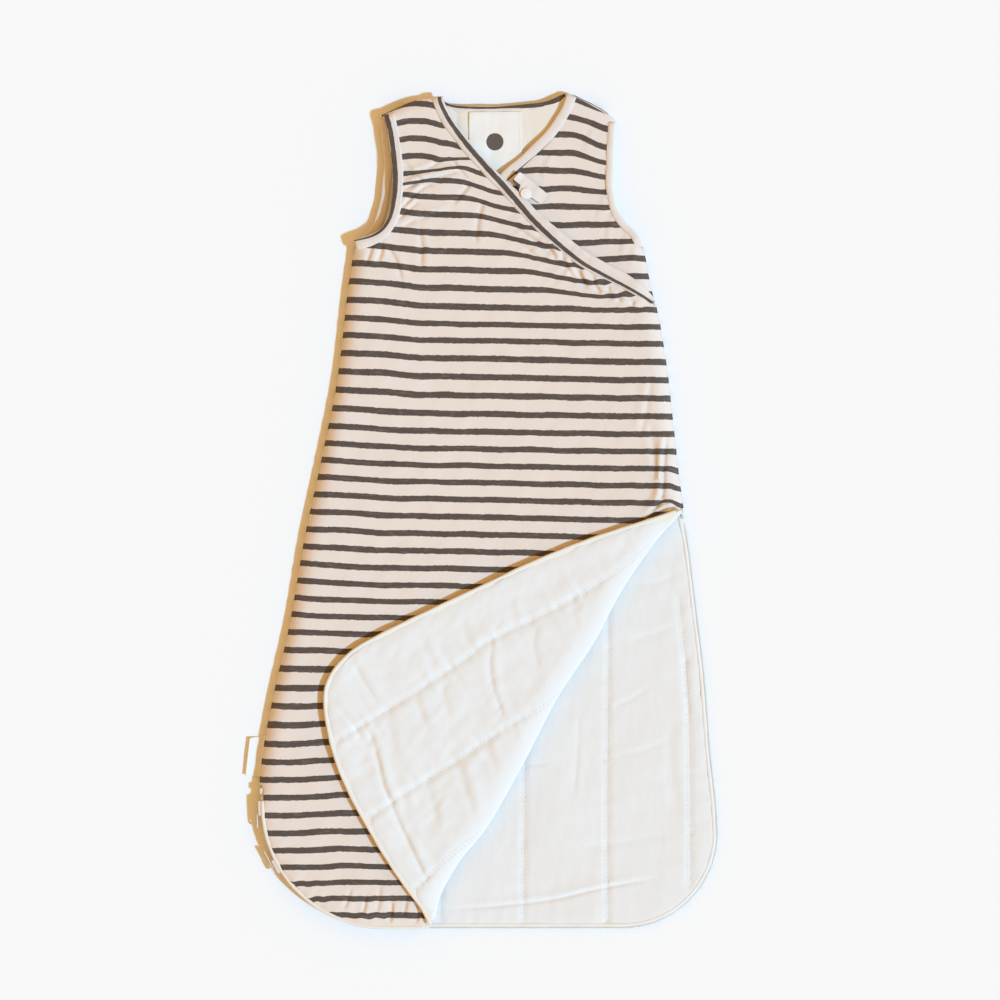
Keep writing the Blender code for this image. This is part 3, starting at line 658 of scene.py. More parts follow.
def front_print(points):
    """Where each point of the left front lies on its printed cloth: across, and up in stripes."""
    x, y = points[:, 0], points[:, 1]
    wrap, along, _ = nearest(points, SEAMS["wrap"])
    dip = 11.0 * (1 - ease(wrap, 0, 42)) * ease(x, -40, 12) * ease(y, 175, 200)
    dip *= 1 - 0.8 * ease(x, 95, 138)
    arch = 5.0 * ease(y, 280, 320) * (((np.minimum(x, -40) + 58) / 22) ** 2 - 0.3)
    tuck = 12.5 * ease(y - (299.6 + 0.42 * (x + 62.8)), -9, 9)
    beyond = (points - CRUMPLE_START) @ CRUMPLE_ACROSS
    crumpled = 5.5 * ease(beyond, 0, 2.5) * ease(y, -18, -8)
    crumpled *= (1 - ease(y, 3, 13)) * (1 - ease(x, 166, 178))
    droop = 3.2 * ease(x, 166, 179) * ease(y, -4, 6) * (1 - ease(y, 30, 60))
    gather = 1.3 * np.sin(along * 2 * math.pi / 12.5) * ease(along, 110, 150) * np.exp(-wrap / 13)
    crumple = 0.35 * waves(points, 40, 51) + 0.2 * waves(points, 14, 52)
    at_hem = np.exp(-seam_distance(points, "hem") / 11) * (1 - ease(y, -340, -320))
    crumple += 1.4 * at_hem * np.sin(2 * math.pi * x / 13.5) * (0.6 + 0.4 * np.sin(x / 9.0))
    moved = dip + sag(points) + crumple + gather - crumpled + droop
    return np.stack([x, stripes_from(y + moved) + arch + tuck], axis=1)


def under_print(points):
    """The right front's place on its cloth."""
    x, y = points[:, 0], points[:, 1]
    droop = 12.0 * ease(x, 76, 116) * ease(y, 268, 330) - 2.5 * ease(x, 85, 140) * (1 - ease(y, 235, 262))
    crumple = 0.7 * waves(points, 36, 55)
    return np.stack([x, (y + droop + crumple - 357.2) * STRIPE_PITCH / 16.35], axis=1)


def right_side_print(points):
    """The print along the right side, which belongs to both fronts in turn."""
    return np.where(points[:, 1:] > 191, under_print(points), front_print(points))


def corner_print(points):
    """The turned-up corner's place on the cloth, from where its points lie when it is down."""
    return np.stack([points[:, 0], stripes_from(points[:, 1] + sag(points))], axis=1)


def plain_print(points):
    """A panel's place on its cloth, with straight stripes."""
    x, y = points[:, 0], points[:, 1]
    return np.stack([x, stripes_from(y + 0.6 * waves(points, 60, 57))], axis=1)


# ---------------------------------------------------------------- meshes


def fill(outline, step, rims=(), creases=()):
    """Points and triangles that fill a closed outline, in finer rows at its rims and along its creases."""
    if area_of(outline) < 0:
        outline = outline[::-1]
    edge = resample(np.vstack([outline, outline[:1]]), step)[:-1]
    loop = np.vstack([edge, edge[:1]])
    low, high = edge.min(0), edge.max(0)
    rows = np.arange(low[1], high[1], step * math.sqrt(3) / 2)
    columns = np.arange(low[0], high[0], step)
    shifts = [(i % 2) * step / 2 for i in range(len(rows))]
    grid = [np.column_stack([columns + shift, np.full(len(columns), y)]) for shift, y in zip(shifts, rows)]
    grid = np.vstack(grid)
    grid = grid[inside(grid, edge)]
    grid = grid[nearest(grid, loop)[0] > (rims[-1] if rims else 0) + 0.6 * step]
    rings = []
    for rim in rims:
        ring = beside(loop, rim)[:-1]
        ring = ring[inside(ring, edge)]
        rings.append(ring[nearest(ring, loop)[0] > 0.93 * rim])
    for line in creases:
        path = smooth(line)
        grid = grid[nearest(grid, path)[0] > 3.6]
        rows = np.vstack([beside(path, side) for side in (-3.0, -1.9, -0.95, 0, 0.95, 1.9, 3.0)])
        rows = rows[inside(rows, edge)]
        grid = np.vstack([grid, rows[nearest(rows, loop)[0] > (rims[-1] if rims else 0) + 0.5 * step]])
    points = np.vstack([edge, *rings, grid])
    count = len(edge)
    links = [(i, (i + 1) % count) for i in range(count)]
    made = delaunay_2d_cdt([Vector(p) for p in points.tolist()], links, [], 1, 1e-5)
    return np.array([tuple(v) for v in made[0]]), np.array(made[2])


def new_mesh(name, points, faces, prints=None):
    """A smooth-shaded object from points in millimetres, with the print's coordinates in metres."""
    mesh = bpy.data.meshes.new(name)
    mesh.from_pydata((np.asarray(points) * MM).tolist(), [], [tuple(f) for f in faces])
    mesh.update()
    if prints is not None:
        layer = mesh.attributes.new("print", "FLOAT_VECTOR", "POINT")
        values = np.column_stack([prints, np.zeros(len(prints))]) * MM
        layer.data.foreach_set("vector", values.astype(np.float32).ravel())
    mesh.shade_smooth()
    thing = bpy.data.objects.new(name, mesh)
    bpy.context.scene.collection.objects.link(thing)
    return thing


def thicken(thing, thickness, offset=-1.0):
    """Gives a cloth its thickness."""
    solid = thing.modifiers.new("cloth_thickness", "SOLIDIFY")
    solid.thickness = thickness * MM
    solid.offset = offset
    solid.use_even_offset = False
    return thing


def dress(thing, material, body=None, nodes=()):
    """Gives a piece its material, and the body and nodes it stands for."""
    thing.data.materials.append(material)
    if body:
        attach(thing, body)
    if nodes:
        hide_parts(*nodes)
    return thing


def tube(name, line, radius, sides=8, squash=1.0):
    """A closed round tube along a line of points in space, with rounded ends."""
    line = np.asarray(line, float)
    along = np.gradient(line, axis=0)
    along /= np.maximum(np.linalg.norm(along, axis=1), 1e-9)[:, None]
    across = np.cross(along, (0.0, 0.0, 1.0))
    across /= np.maximum(np.linalg.norm(across, axis=1), 1e-9)[:, None]
    up = np.cross(across, along)
    b = np.linspace(0, 2 * math.pi, sides, endpoint=False)
    ring = np.cos(b)[None, :, None] * across[:, None] + squash * np.sin(b)[None, :, None] * up[:, None]
    radii = np.broadcast_to(np.reshape(radius, (-1, 1, 1)), (len(line), 1, 1))
    points = (line[:, None] + radii * ring).reshape(-1, 3)
    faces = []
    for i in range(len(line) - 1):
        for j in range(sides):
            k = (j + 1) % sides
            faces.append((i * sides + j, i * sides + k, (i + 1) * sides + k, (i + 1) * sides + j))
    faces.append(tuple(range(sides))[::-1])
    faces.append(tuple((len(line) - 1) * sides + j for j in range(sides)))
    return new_mesh(name, points, faces)


def widths(side, share):
    """A distance at each share of a line: one number, or a table of (share, distance)."""
    if hasattr(side, "__len__"):
        return np.interp(share, *zip(*side))
    return 0 * share + side


def band(name, line, near, far, heights, thickness, stripe=None, sides=20):
    """A folded binding round an edge: a closed flat tube between two distances to the left of a line.

    stripe gives the dark stripe's centre and half width along the line, measured across it.
    """
    line = resample(np.asarray(line, float), 2.5)
    share = np.linspace(0, 1, len(line))
    near, far = (widths(side, share) for side in (near, far))
    along = lengths(line)
    near = near + 0.25 * np.sin(along / 5.1) + 0.2 * np.sin(along / 12.7 + 2)
    far = far + 0.25 * np.sin(along / 6.3 + 1)
    left = normals(line)
    b = np.linspace(0, 2 * math.pi, sides, endpoint=False)
    wide = np.sign(np.cos(b)) * np.abs(np.cos(b)) ** 0.75
    high = np.sign(np.sin(b)) * np.abs(np.sin(b)) ** 0.6
    across = (near + far)[:, None] / 2 + (far - near)[:, None] / 2 * wide
    places = line[:, None] + across[..., None] * left[:, None]
    middle = line + ((near + far) / 2)[:, None] * left
    base = heights(middle) if callable(heights) else np.full(len(line), heights)
    ripple = 0.18 * np.sin(along / 3.3) + 0.14 * np.sin(along / 7.9 + 1)
    z = (base + ripple)[:, None] + thickness * (0.5 + 0.5 * high) + 0.25 * (1 - wide**2)
    points = np.dstack([places, z]).reshape(-1, 3)
    if stripe is None:
        up = across * 0.02 + STRIPE_PITCH / 2
    else:
        centre = np.interp(share, *zip(*stripe[0]))[:, None]
        half = np.interp(share, *zip(*stripe[1]))[:, None]
        up = np.clip((across - centre) / half * STRIPE_HALF, -STRIPE_PITCH / 2, STRIPE_PITCH / 2)
        up = np.where(np.sin(b)[None, :] < -0.5, STRIPE_PITCH / 2, up)
    prints = np.dstack([np.broadcast_to(along[:, None], up.shape), up]).reshape(-1, 2)
    faces = []
    for i in range(len(line) - 1):
        for j in range(sides):
            k = (j + 1) % sides
            faces.append((i * sides + k, i * sides + j, (i + 1) * sides + j, (i + 1) * sides + k))
    faces.append(tuple(range(sides)))
    faces.append(tuple((len(line) - 1) * sides + j for j in range(sides))[::-1])
    thing = new_mesh(name, points, faces, prints)
    thing["flat"] = [max(float(np.mean(np.abs(far - near))) + thickness, 10.1) * MM, float(along[-1]) * MM]
    return thing


def stitches(name, lines, heights, length=2.4, gap=1.5, radius=0.22):
    """A row of thread stitches along each line, half sunk in the cloth."""
    points, faces = [], []
    profile = ((0.0, 0.35), (0.12, 0.85), (0.5, 1.0), (0.88, 0.85), (1.0, 0.35))
    for line in lines:
        path = resample(np.asarray(line, float), 0.5)
        along = lengths(path)
        starts = np.arange(gap, along[-1] - length, length + gap)
        places = starts[:, None] + length * np.array([p for p, _ in profile])
        flat = np.stack([np.interp(places, along, path[:, k]) for k in range(2)], axis=-1)
        z = heights(flat.reshape(-1, 2)).reshape(places.shape)
        z = z + radius * 0.5 * np.array([0, 0.8, 1, 0.8, 0])
        way = flat[:, -1] - flat[:, 0]
        way /= np.maximum(np.linalg.norm(way, axis=1), 1e-9)[:, None]
        side = np.stack([-way[:, 1], way[:, 0]], axis=1)
        for centre, height, out in zip(flat, z, side):
            first = len(points)
            for k, (_, size) in enumerate(profile):
                for bearing in (0, 1, 2, 3, 4, 5):
                    b = bearing * math.pi / 3
                    c = radius * size * math.cos(b)
                    points.append((
                        centre[k][0] + c * out[0], centre[k][1] + c * out[1],
                        height[k] + radius * size * math.sin(b),
                    ))
            for k in range(4):
                for j in range(6):
                    m = (j + 1) % 6
                    a = first + k * 6
                    faces.append((a + j, a + m, a + 6 + m, a + 6 + j))
            faces.append(tuple(first + j for j in range(6))[::-1])
            faces.append(tuple(first + 24 + j for j in range(6)))
    return new_mesh(name, np.array(points), faces)


STRIPE_HALF = 2.95


# ---------------------------------------------------------------- materials


class Nodes:
    """A short way to build a material's nodes."""

    def __init__(self, name):
        self.material = bpy.data.materials.new(name)
        self.material.use_nodes = True
        self.tree = self.material.node_tree
        self.shader = self.tree.nodes["Principled BSDF"]

    def add(self, kind, links=(), **values):
        node = self.tree.nodes.new("ShaderNode" + kind)
        for key, value in values.items():
            if hasattr(node, key):
                setattr(node, key, value)
            else:
                node.inputs[key.replace("_", " ")].default_value = value
        for socket, source in dict(links).items():
            self.tree.links.new(source, node.inputs[socket])
        return node

    def math(self, operation, a, b=0.0, c=None, clamp=False):
        node = self.tree.nodes.new("ShaderNodeMath")
        node.operation = operation
        node.use_clamp = clamp
        for i, value in enumerate((a, b) if c is None else (a, b, c)):
            if isinstance(value, (int, float)):
                node.inputs[i].default_value = value
            else:
                self.tree.links.new(value, node.inputs[i])
        return node.outputs[0]

    def mix(self, share, a, b):
        """A colour from a to b. Each may be a colour or a socket."""
        node = self.tree.nodes.new("ShaderNodeMix")
        node.data_type = "RGBA"
        for key, value in ((0, share), (6, a), (7, b)):
            if isinstance(value, tuple):
                node.inputs[key].default_value = (*value, 1.0)
            elif isinstance(value, (int, float)):
                node.inputs[key].default_value = value
            else:
                self.tree.links.new(value, node.inputs[key])
        return node.outputs[2]

    def noise(self, vector, scale, detail=2.0, roughness=0.5):
        node = self.add("TexNoise", {"Vector": vector})
        node.inputs["Scale"].default_value = scale
        node.inputs["Detail"].default_value = detail
        node.inputs["Roughness"].default_value = roughness
        return node.outputs["Fac"]

    def stretched(self, vector, x, y, z=1.0):
        node = self.add("Mapping", {"Vector": vector})
        node.inputs["Scale"].default_value = (x, y, z)
        return node.outputs[0]

    def weave(self, vector, thread):
        """Crossing threads, as a height from 0 to 1."""
        parts = self.add("SeparateXYZ", {"Vector": vector})
        size = 2 * math.pi / thread
        warp = self.math("SINE", self.math("MULTIPLY", parts.outputs[0], size))
        weft = self.math("SINE", self.math("MULTIPLY", parts.outputs[1], size))
        both = self.math("MULTIPLY", warp, weft)
        return self.math("MULTIPLY_ADD", both, 0.5), warp, weft

    def bump(self, height, distance, strength=1.0):
        node = self.add("Bump", {"Height": height})
        node.inputs["Strength"].default_value = strength
        node.inputs["Distance"].default_value = distance
        self.tree.links.new(node.outputs[0], self.shader.inputs["Normal"])

    def paint(self, colour=None, roughness=None, **settings):
        if colour is not None:
            self.tree.links.new(colour, self.shader.inputs["Base Color"])
        if roughness is not None:
            self.tree.links.new(roughness, self.shader.inputs["Roughness"])
        for key, value in settings.items():
            self.shader.inputs[key.replace("_", " ")].default_value = value
        return self.material


CREAM = (0.84, 0.745, 0.675)
CREAM_WARM = (0.825, 0.71, 0.62)
INK = (0.098, 0.073, 0.059)
INK_WORN = (0.21, 0.165, 0.137)
MUSLIN = (0.80, 0.80, 0.79)
MUSLIN_WARM = (0.79, 0.765, 0.735)
# Painted shade: the back lining's colour towards the neck, darker and warmer for the shade and warm bounce
# light inside the garment there.
MUSLIN_NECK_PAINTED_SHADE = (0.82, 0.745, 0.645)
NECK_SHADE_FROM = 0.27
NECK_SHADE_OVER = 0.05
BINDING = (0.79, 0.695, 0.625)
BINDING_PALE = (0.8, 0.735, 0.675)
TAPE = (0.80, 0.735, 0.64)
TAPE_PALE = (0.84, 0.79, 0.71)
NYLON = (0.84, 0.79, 0.7)
METAL = (0.8, 0.77, 0.72)
PLASTIC = (0.86, 0.84, 0.81)
THREAD = (0.86, 0.84, 0.8)
LABEL = (0.85, 0.82, 0.78)
FLOOR = (0.9, 0.9, 0.895)


def striped_cotton(name, ground, ground_warm):
    """Woven cotton with brushed dark stripes printed along the print attribute's second coordinate."""
    n = Nodes(name)
    print_at = n.add("Attribute", attribute_name="print").outputs["Vector"]
    parts = n.add("SeparateXYZ", {"Vector": print_at})
    ragged = n.noise(n.stretched(print_at, 1, 2.2), 240.0, 3.0, 0.6)
    slow = n.noise(n.stretched(print_at, 1, 0.6), 34.0, 2.0)
    shifted = n.math("ADD", parts.outputs[1], n.math("MULTIPLY", n.math("SUBTRACT", slow, 0.5), 0.0009))
    turns = n.math("ADD", n.math("DIVIDE", shifted, STRIPE_PITCH * MM), 400.5)
    off = n.math("ABSOLUTE", n.math("SUBTRACT", n.math("FRACT", turns), 0.5))
    away = n.math("MULTIPLY", off, STRIPE_PITCH)
    rough_edge = n.math("MULTIPLY", n.math("SUBTRACT", ragged, 0.5), 1.5)
    edge = n.math("ADD", n.math("SUBTRACT", STRIPE_HALF, away), rough_edge)
    ink = n.math("MULTIPLY", edge, 2.6, clamp=True)
    worn = n.noise(n.stretched(print_at, 1, 4), 90.0, 4.0, 0.65)
    thin = n.math("MULTIPLY", n.math("SUBTRACT", worn, 0.52), 3.2, clamp=True)
    weave, _, _ = n.weave(print_at, 0.00042)
    slub = n.noise(n.stretched(print_at, 0.15, 3), 900.0, 2.0)
    mottle = n.noise(print_at, 22.0, 3.0)
    cloth = n.mix(n.math("MULTIPLY", mottle, 0.9), ground, ground_warm)
    dark = n.mix(thin, INK, INK_WORN)
    colour = n.mix(ink, cloth, dark)
    threads = n.math("MULTIPLY_ADD", slub, 0.12, 0.9)
    shade = n.add("Mix", data_type="RGBA", blend_type="MULTIPLY")
    shade.inputs[0].default_value = 1.0
    n.tree.links.new(colour, shade.inputs[6])
    grey = n.add("CombineColor", {"Red": threads, "Green": threads, "Blue": threads})
    n.tree.links.new(grey.outputs[0], shade.inputs[7])
    fuzz = n.noise(print_at, 1500.0, 2.0)
    height = n.math("ADD", n.math("MULTIPLY", weave, 1.0), n.math("MULTIPLY", fuzz, 0.6))
    n.bump(height, 0.00012, 0.55)
    roughness = n.math("MULTIPLY_ADD", ink, -0.08, 0.9)
    return n.paint(
        shade.outputs[2], roughness, Specular_IOR_Level=0.25, Sheen_Weight=0.12, Sheen_Roughness=0.6,
    )


def gauze(name, ground, warm, thread=0.00045, crinkle=1.0, neck=None):
    """Soft open-weave cotton: a thread grid, slubs and a fine crinkle, and painted shade and warm bounce
    light that turn it darker and warmer towards the neck.
    """
    n = Nodes(name)
    at = n.add("TexCoord").outputs["Object"]
    _, warp, weft = n.weave(at, thread)
    crossing = n.math("MULTIPLY", n.math("ADD", warp, weft), 0.1)
    crinkles = n.noise(n.stretched(at, 1.0, 0.35, 1), 260.0, 4.0, 0.6)
    soft = n.noise(at, 60.0, 3.0)
    mottle = n.noise(at, 14.0, 2.0)
    slub = n.noise(n.stretched(at, 0.12, 3, 1), 700.0, 2.0)
    colour = n.mix(n.math("MULTIPLY", mottle, 0.8), ground, warm)
    # Painted shade and warm bounce light: the colour is blended darker and warmer towards the neck.
    if neck:
        up = n.add("SeparateXYZ", {"Vector": at}).outputs[1]
        share = n.math("DIVIDE", n.math("SUBTRACT", up, NECK_SHADE_FROM), NECK_SHADE_OVER, clamp=True)
        colour = n.mix(share, colour, neck)
    colour = n.mix(n.math("MULTIPLY", slub, 0.16), colour, tuple(0.86 * c for c in ground))
    height = n.math("ADD", crossing, n.math("MULTIPLY", crinkles, 2.4 * crinkle))
    height = n.math("ADD", height, n.math("MULTIPLY", soft, 3.0 * crinkle))
    n.bump(height, 0.00016, 0.45)
    roughness = n.math("MULTIPLY_ADD", slub, 0.1, 0.85)
    return n.paint(colour, roughness, Specular_IOR_Level=0.2, Sheen_Weight=0.15, Sheen_Roughness=0.5)


def twill(name, ground, pale, thread=0.0006):
    """Close-woven tape: fine diagonal ribs."""
    n = Nodes(name)
    at = n.add("TexCoord").outputs["Object"]
    parts = n.add("SeparateXYZ", {"Vector": at})
    diagonal = n.math("ADD", parts.outputs[0], parts.outputs[1])
    ribs = n.math("SINE", n.math("MULTIPLY", diagonal, 2 * math.pi / thread))
    fuzz = n.noise(at, 800.0, 2.0)
    mottle = n.noise(at, 40.0, 2.0)
    colour = n.mix(mottle, ground, pale)
    n.bump(n.math("ADD", n.math("MULTIPLY", ribs, 0.4), fuzz), 0.00012, 0.5)
    roughness = n.math("MULTIPLY_ADD", fuzz, 0.15, 0.75)
    return n.paint(colour, roughness, Specular_IOR_Level=0.3, Sheen_Weight=0.1)


def moulded(name, ground, roughness, metallic=0.0, coat=0.0):
    """Moulded nylon or painted metal, with a fine uneven surface and rubbed patches."""
    n = Nodes(name)
    at = n.add("TexCoord").outputs["Object"]
    fine = n.noise(at, 900.0, 3.0)
    patches = n.noise(at, 160.0, 2.0)
    colour = n.mix(n.math("MULTIPLY", patches, 0.6), ground, tuple(0.88 * c for c in ground))
    n.bump(fine, 0.00003, 0.4)
    rough = n.math("MULTIPLY_ADD", patches, 0.2, roughness)
    return n.paint(colour, rough, Metallic=metallic, Coat_Weight=coat)


def printed_disc(name):
    """Dark round ink on a woven label."""
    n = Nodes(name)
    at = n.add("TexCoord").outputs["Object"]
    worn = n.noise(at, 500.0, 3.0)
    weave, _, _ = n.weave(at, 0.0004)
    n.bump(n.math("ADD", weave, worn), 0.0001, 0.5)
    return n.paint(n.mix(n.math("MULTIPLY", worn, 0.35), INK, INK_WORN), None, Roughness=0.85)


def floor_paper(name):
    """A plain matt floor."""
    n = Nodes(name)
    at = n.add("TexCoord").outputs["Object"]
    grain = n.noise(at, 300.0, 2.0)
    colour = n.mix(n.math("MULTIPLY", grain, 0.3), FLOOR, tuple(0.99 * c for c in FLOOR))
    return n.paint(colour, None, Roughness=1.0, Specular_IOR_Level=0.0)


# ---------------------------------------------------------------- the cloths


def cloth(name, outline, step, rims, heights, prints, thickness, creases=()):
    """A laid cloth: its outline filled, raised and given its thickness."""
    flat, faces = fill(outline, step, rims, creases)
    thing = new_mesh(name, np.column_stack([flat, heights(flat)]), faces, prints(flat) if prints else None)
    return thicken(thing, thickness)


def declare(thing):
    """Returns a laid cloth as it is."""
    return thing


def shell_under_side(points):
    """The back shell, flat on the floor and turned up to its seams."""
    z = np.full(len(points), 0.75)
    seam = np.minimum(seam_distance(points, "left"), seam_distance(points, "right"))
    z += (SEAM_HEIGHT - 0.9) * drop(seam, 9) * ease(points[:, 1], -262, -236)
    z += 2.0 * drop(seam_distance(points, "hem"), 7)
    shoulders = np.minimum(seam_distance(points, "shoulder"), seam_distance(points, "right_shoulder"))
    z += 4.0 * drop(shoulders, 7)
    z += 3.2 * drop(seam_distance(points, "arm_back"), 9)
    return z


EDGE_ROWS = (0.4, 1.0, 1.9, 3.2)


def make_back(looks):
    outline = back_outline()
    shell = cloth(
        "back_outer_cloth", outline, HIDDEN_STEP, EDGE_ROWS, shell_under_side, plain_print, SHELL_THICKNESS,
    )
    dress(shell, looks["striped"], "root", ["back_shell", "back_batting"])
    declare(shell)
    outline = back_outline(LINING_HEM_INSET)
    lining = cloth(
        "back_lining_cloth", outline, CLOTH_STEP, EDGE_ROWS, back_height, None, LINING_THICKNESS,
        [line for line, _, _, _ in BACK_CREASES],
    )
    dress(lining, looks["muslin"], "root", ["back_lining"])
    declare(lining)
    rows = [beside(smooth(line), side) for line in BACK_CHANNELS for side in (-1.6, 1.6)]
    sewn = stitches("back_quilting_thread", rows, back_height)
    dress(sewn, looks["thread"], "root")


def make_front(looks):
    outline = cut_at(front_outline(), False, FRONT_INSET)
    shell = cloth(
        "front_outer_cloth", outline, CLOTH_STEP, EDGE_ROWS, front_height, front_print, SHELL_THICKNESS,
        [line for line, _, _, _ in FRONT_CREASES],
    )
    dress(shell, looks["striped"], "root", ["front_shell", "front_batting"])
    declare(shell)
    inner = cut_at(front_outline(), False, ROLL_RADIUS)

    def lining_height(points):
        near_hem = 1 - ease(seam_distance(points, "hem"), 13, 20)
        above_it = front_height(points)
        return np.minimum(np.maximum(above_it - 3.2, np.maximum(4.6, 11.5 * near_hem)), above_it - 0.9)

    lining = cloth("front_lining_cloth", inner, COARSE_STEP, (), lining_height, None, LINING_THICKNESS)
    dress(lining, looks["muslin"], "root", ["front_lining"])
    declare(lining)


def make_right_front(looks):
    outline = under_outline()
    shell = cloth(
        "right_front_outer_cloth", outline, CLOTH_STEP, EDGE_ROWS, under_height, under_print,
        SHELL_THICKNESS,
    )
    dress(shell, looks["striped"], "root", ["under_panel_shell"])
    declare(shell)

    def lining_height(points):
        return under_height(points) - 1.4

    lining = cloth(
        "right_front_lining_cloth", outline, COARSE_STEP, (), lining_height, None, LINING_THICKNESS,
    )
    dress(lining, looks["muslin"], "root", ["under_panel_lining"])
    declare(lining)


def at_fold(up, across, height):
    """A place given along the hinge line, across it and above the floor."""
    flat = FOLD_BOTTOM + np.outer(up, FOLD_ALONG) + np.outer(across, FOLD_OUT)
    return np.column_stack([flat, np.full(len(flat), height)])


def fold_row(flat, inset):
    """Which of a cloth's points lie along its edge at the fold, from the bottom of the fold up."""
    short = fold_edge(up_fold(flat)) - past_fold(flat) - inset
    row = np.flatnonzero(np.abs(short) < 0.15)
    return row[np.argsort(up_fold(flat[row]))]


def fold_roll(climb):
    """Rows of points that take the lining round the fold and in under it."""
    edge = fold_edge(climb)
    rows = [at_fold(climb, edge, FOLD_TOP_HEIGHT)]
    for b in np.radians([-14, -28, -42, -56, -70, -80, -90]):
        out = edge - ROLL_RADIUS + ROLL_RADIUS * math.cos(b)
        rows.append(at_fold(climb, out, FOLD_HEIGHT + ROLL_RADIUS * math.sin(b)))
    rows.append(at_fold(climb, edge - ROLL_RADIUS - ROLL_TUCK, FOLD_HEIGHT - ROLL_RADIUS))
    return rows


def numbered(first, rows, count):
    """The numbers of the points in rows of this many, from the first one on."""
    return [first + count * r + np.arange(count) for r in range(rows)]


def quads(rows):
    """The faces between neighbouring rows, each given by its points' numbers."""
    return [
        (int(before[i]), int(after[i]), int(after[i + 1]), int(before[i + 1]))
        for before, after in zip(rows, rows[1:]) for i in range(len(before) - 1)
    ]


def bend_at_fold(thing):
    """Bakes a cloth's placement into its points."""
    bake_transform(thing)


def make_corner_lining(looks, outline):
    rims = (0.25, 0.6, 1.1, 1.8, 2.7, 3.8, 5.0)
    flat, faces = fill(outline, CLOTH_STEP, rims, [line for line, _, _, _ in FLAP_CREASES[:5]])
    at_edge = np.abs(fold_edge(up_fold(outline)) - past_fold(outline)) < 0.2
    ups = up_fold(outline[at_edge])
    climb = np.arange(ups.min(), ups.max(), CLOTH_STEP)
    rows = fold_roll(climb)
    points = np.vstack([np.column_stack([flat, flap_height(flat)]), *rows])
    roll = quads(numbered(len(flat), len(rows), len(climb)))
    lining = new_mesh("corner_lining_cloth", points, [tuple(f) for f in faces] + roll)
    thicken(lining, LINING_THICKNESS)
    dress(lining, looks["muslin"], None, ["flap_lining", "flap_batting"])
    bend_at_fold(lining)
    declare(lining)


def make_corner_shell(looks):
    """The corner's outer cloth, with the strip that joins it to the front across the fold."""
    outline = flap_outline(HEM_INSET, BRIDGE_INSET)
    flat, faces = fill(outline, HIDDEN_STEP, EDGE_ROWS)
    row = fold_row(flat, BRIDGE_INSET)
    climb = up_fold(flat[row])
    edge = fold_edge(climb)
    flap_side = at_fold(climb, edge - BRIDGE_INSET + 0.3, FLAP_UNDER)
    front_near = at_fold(climb, edge - FRONT_INSET + 0.3, FRONT_TOP)
    front_side = at_fold(climb, edge - FRONT_INSET, FRONT_TOP)
    top = np.column_stack([flat, FLAP_UNDER + 0.6 * rim_lift(flat)])
    prints = np.vstack([
        corner_print(folded_over(flat)), corner_print(folded_over(flap_side[:, :2])),
        front_print(front_near[:, :2]), front_print(front_side[:, :2]),
    ])
    bridge = quads([row, *numbered(len(flat), 3, len(row))][::-1])
    shell = new_mesh(
        "corner_outer_cloth", np.vstack([top, flap_side, front_near, front_side]),
        [tuple(f) for f in faces[:, ::-1]] + bridge, prints,
    )
    thicken(shell, SHELL_THICKNESS)
    dress(shell, looks["striped"], None, ["flap_shell"])
    bend_at_fold(shell)
    declare(shell)


def make_flap(looks):
    outline = flap_outline(4.0)
    make_corner_lining(looks, outline)
    make_corner_shell(looks)
    rows = [beside(smooth(line), side) for line in FLAP_CHANNELS for side in (-1.4, 1.4)]
    rows = [row[inside(row, outline)] for row in rows]
    dress(stitches("corner_quilting_thread", rows, flap_height), looks["thread"], "flap")


def weld(thing, distance):
    """Merges points closer than this, in millimetres."""
    maker = bmesh.new()
    maker.from_mesh(thing.data)
    bmesh.ops.remove_doubles(maker, verts=maker.verts, dist=distance * MM)
    bmesh.ops.recalc_face_normals(maker, faces=maker.faces)
    maker.to_mesh(thing.data)
    maker.free()
    thing.data.shade_smooth()


# ---------------------------------------------------------------- bindings and seams


def smooth_front(points):
    """The top of the left front without its small folds, for what is sewn on it."""
    return front_height(points, 0.2)


def above(heights, rise):
    """A height function, raised."""
    return lambda points: heights(points) + rise


def bound(thing, looks, nodes, look="binding"):
    """Dresses a binding strip."""
    dress(thing, looks[look], "root", nodes)
    return thing


# The wrap's binding: its edges and its stripe, as distances across at shares of its length.
WRAP_NEAR = [(0, -6.6), (0.3, -6.4), (0.5, -4.6), (1, -2.4)]
WRAP_FAR = [(0, 3.4), (0.3, 3.6), (0.42, 7.0), (0.65, 10.5), (0.85, 11.0), (0.94, 9.0), (1, 4.5)]
WRAP_STRIPE = (
    [(0, 0), (1, 0)],
    [(0, 1.7), (0.15, 2.2), (0.3, 2.7), (0.5, 2.5), (0.7, 1.9), (0.85, 1.5), (1, 1.3)],
)


def wrap_binding_height(points):
    """The under side of the wrap's binding."""
    return np.maximum(smooth_front(points) - 1.6, 9.4)


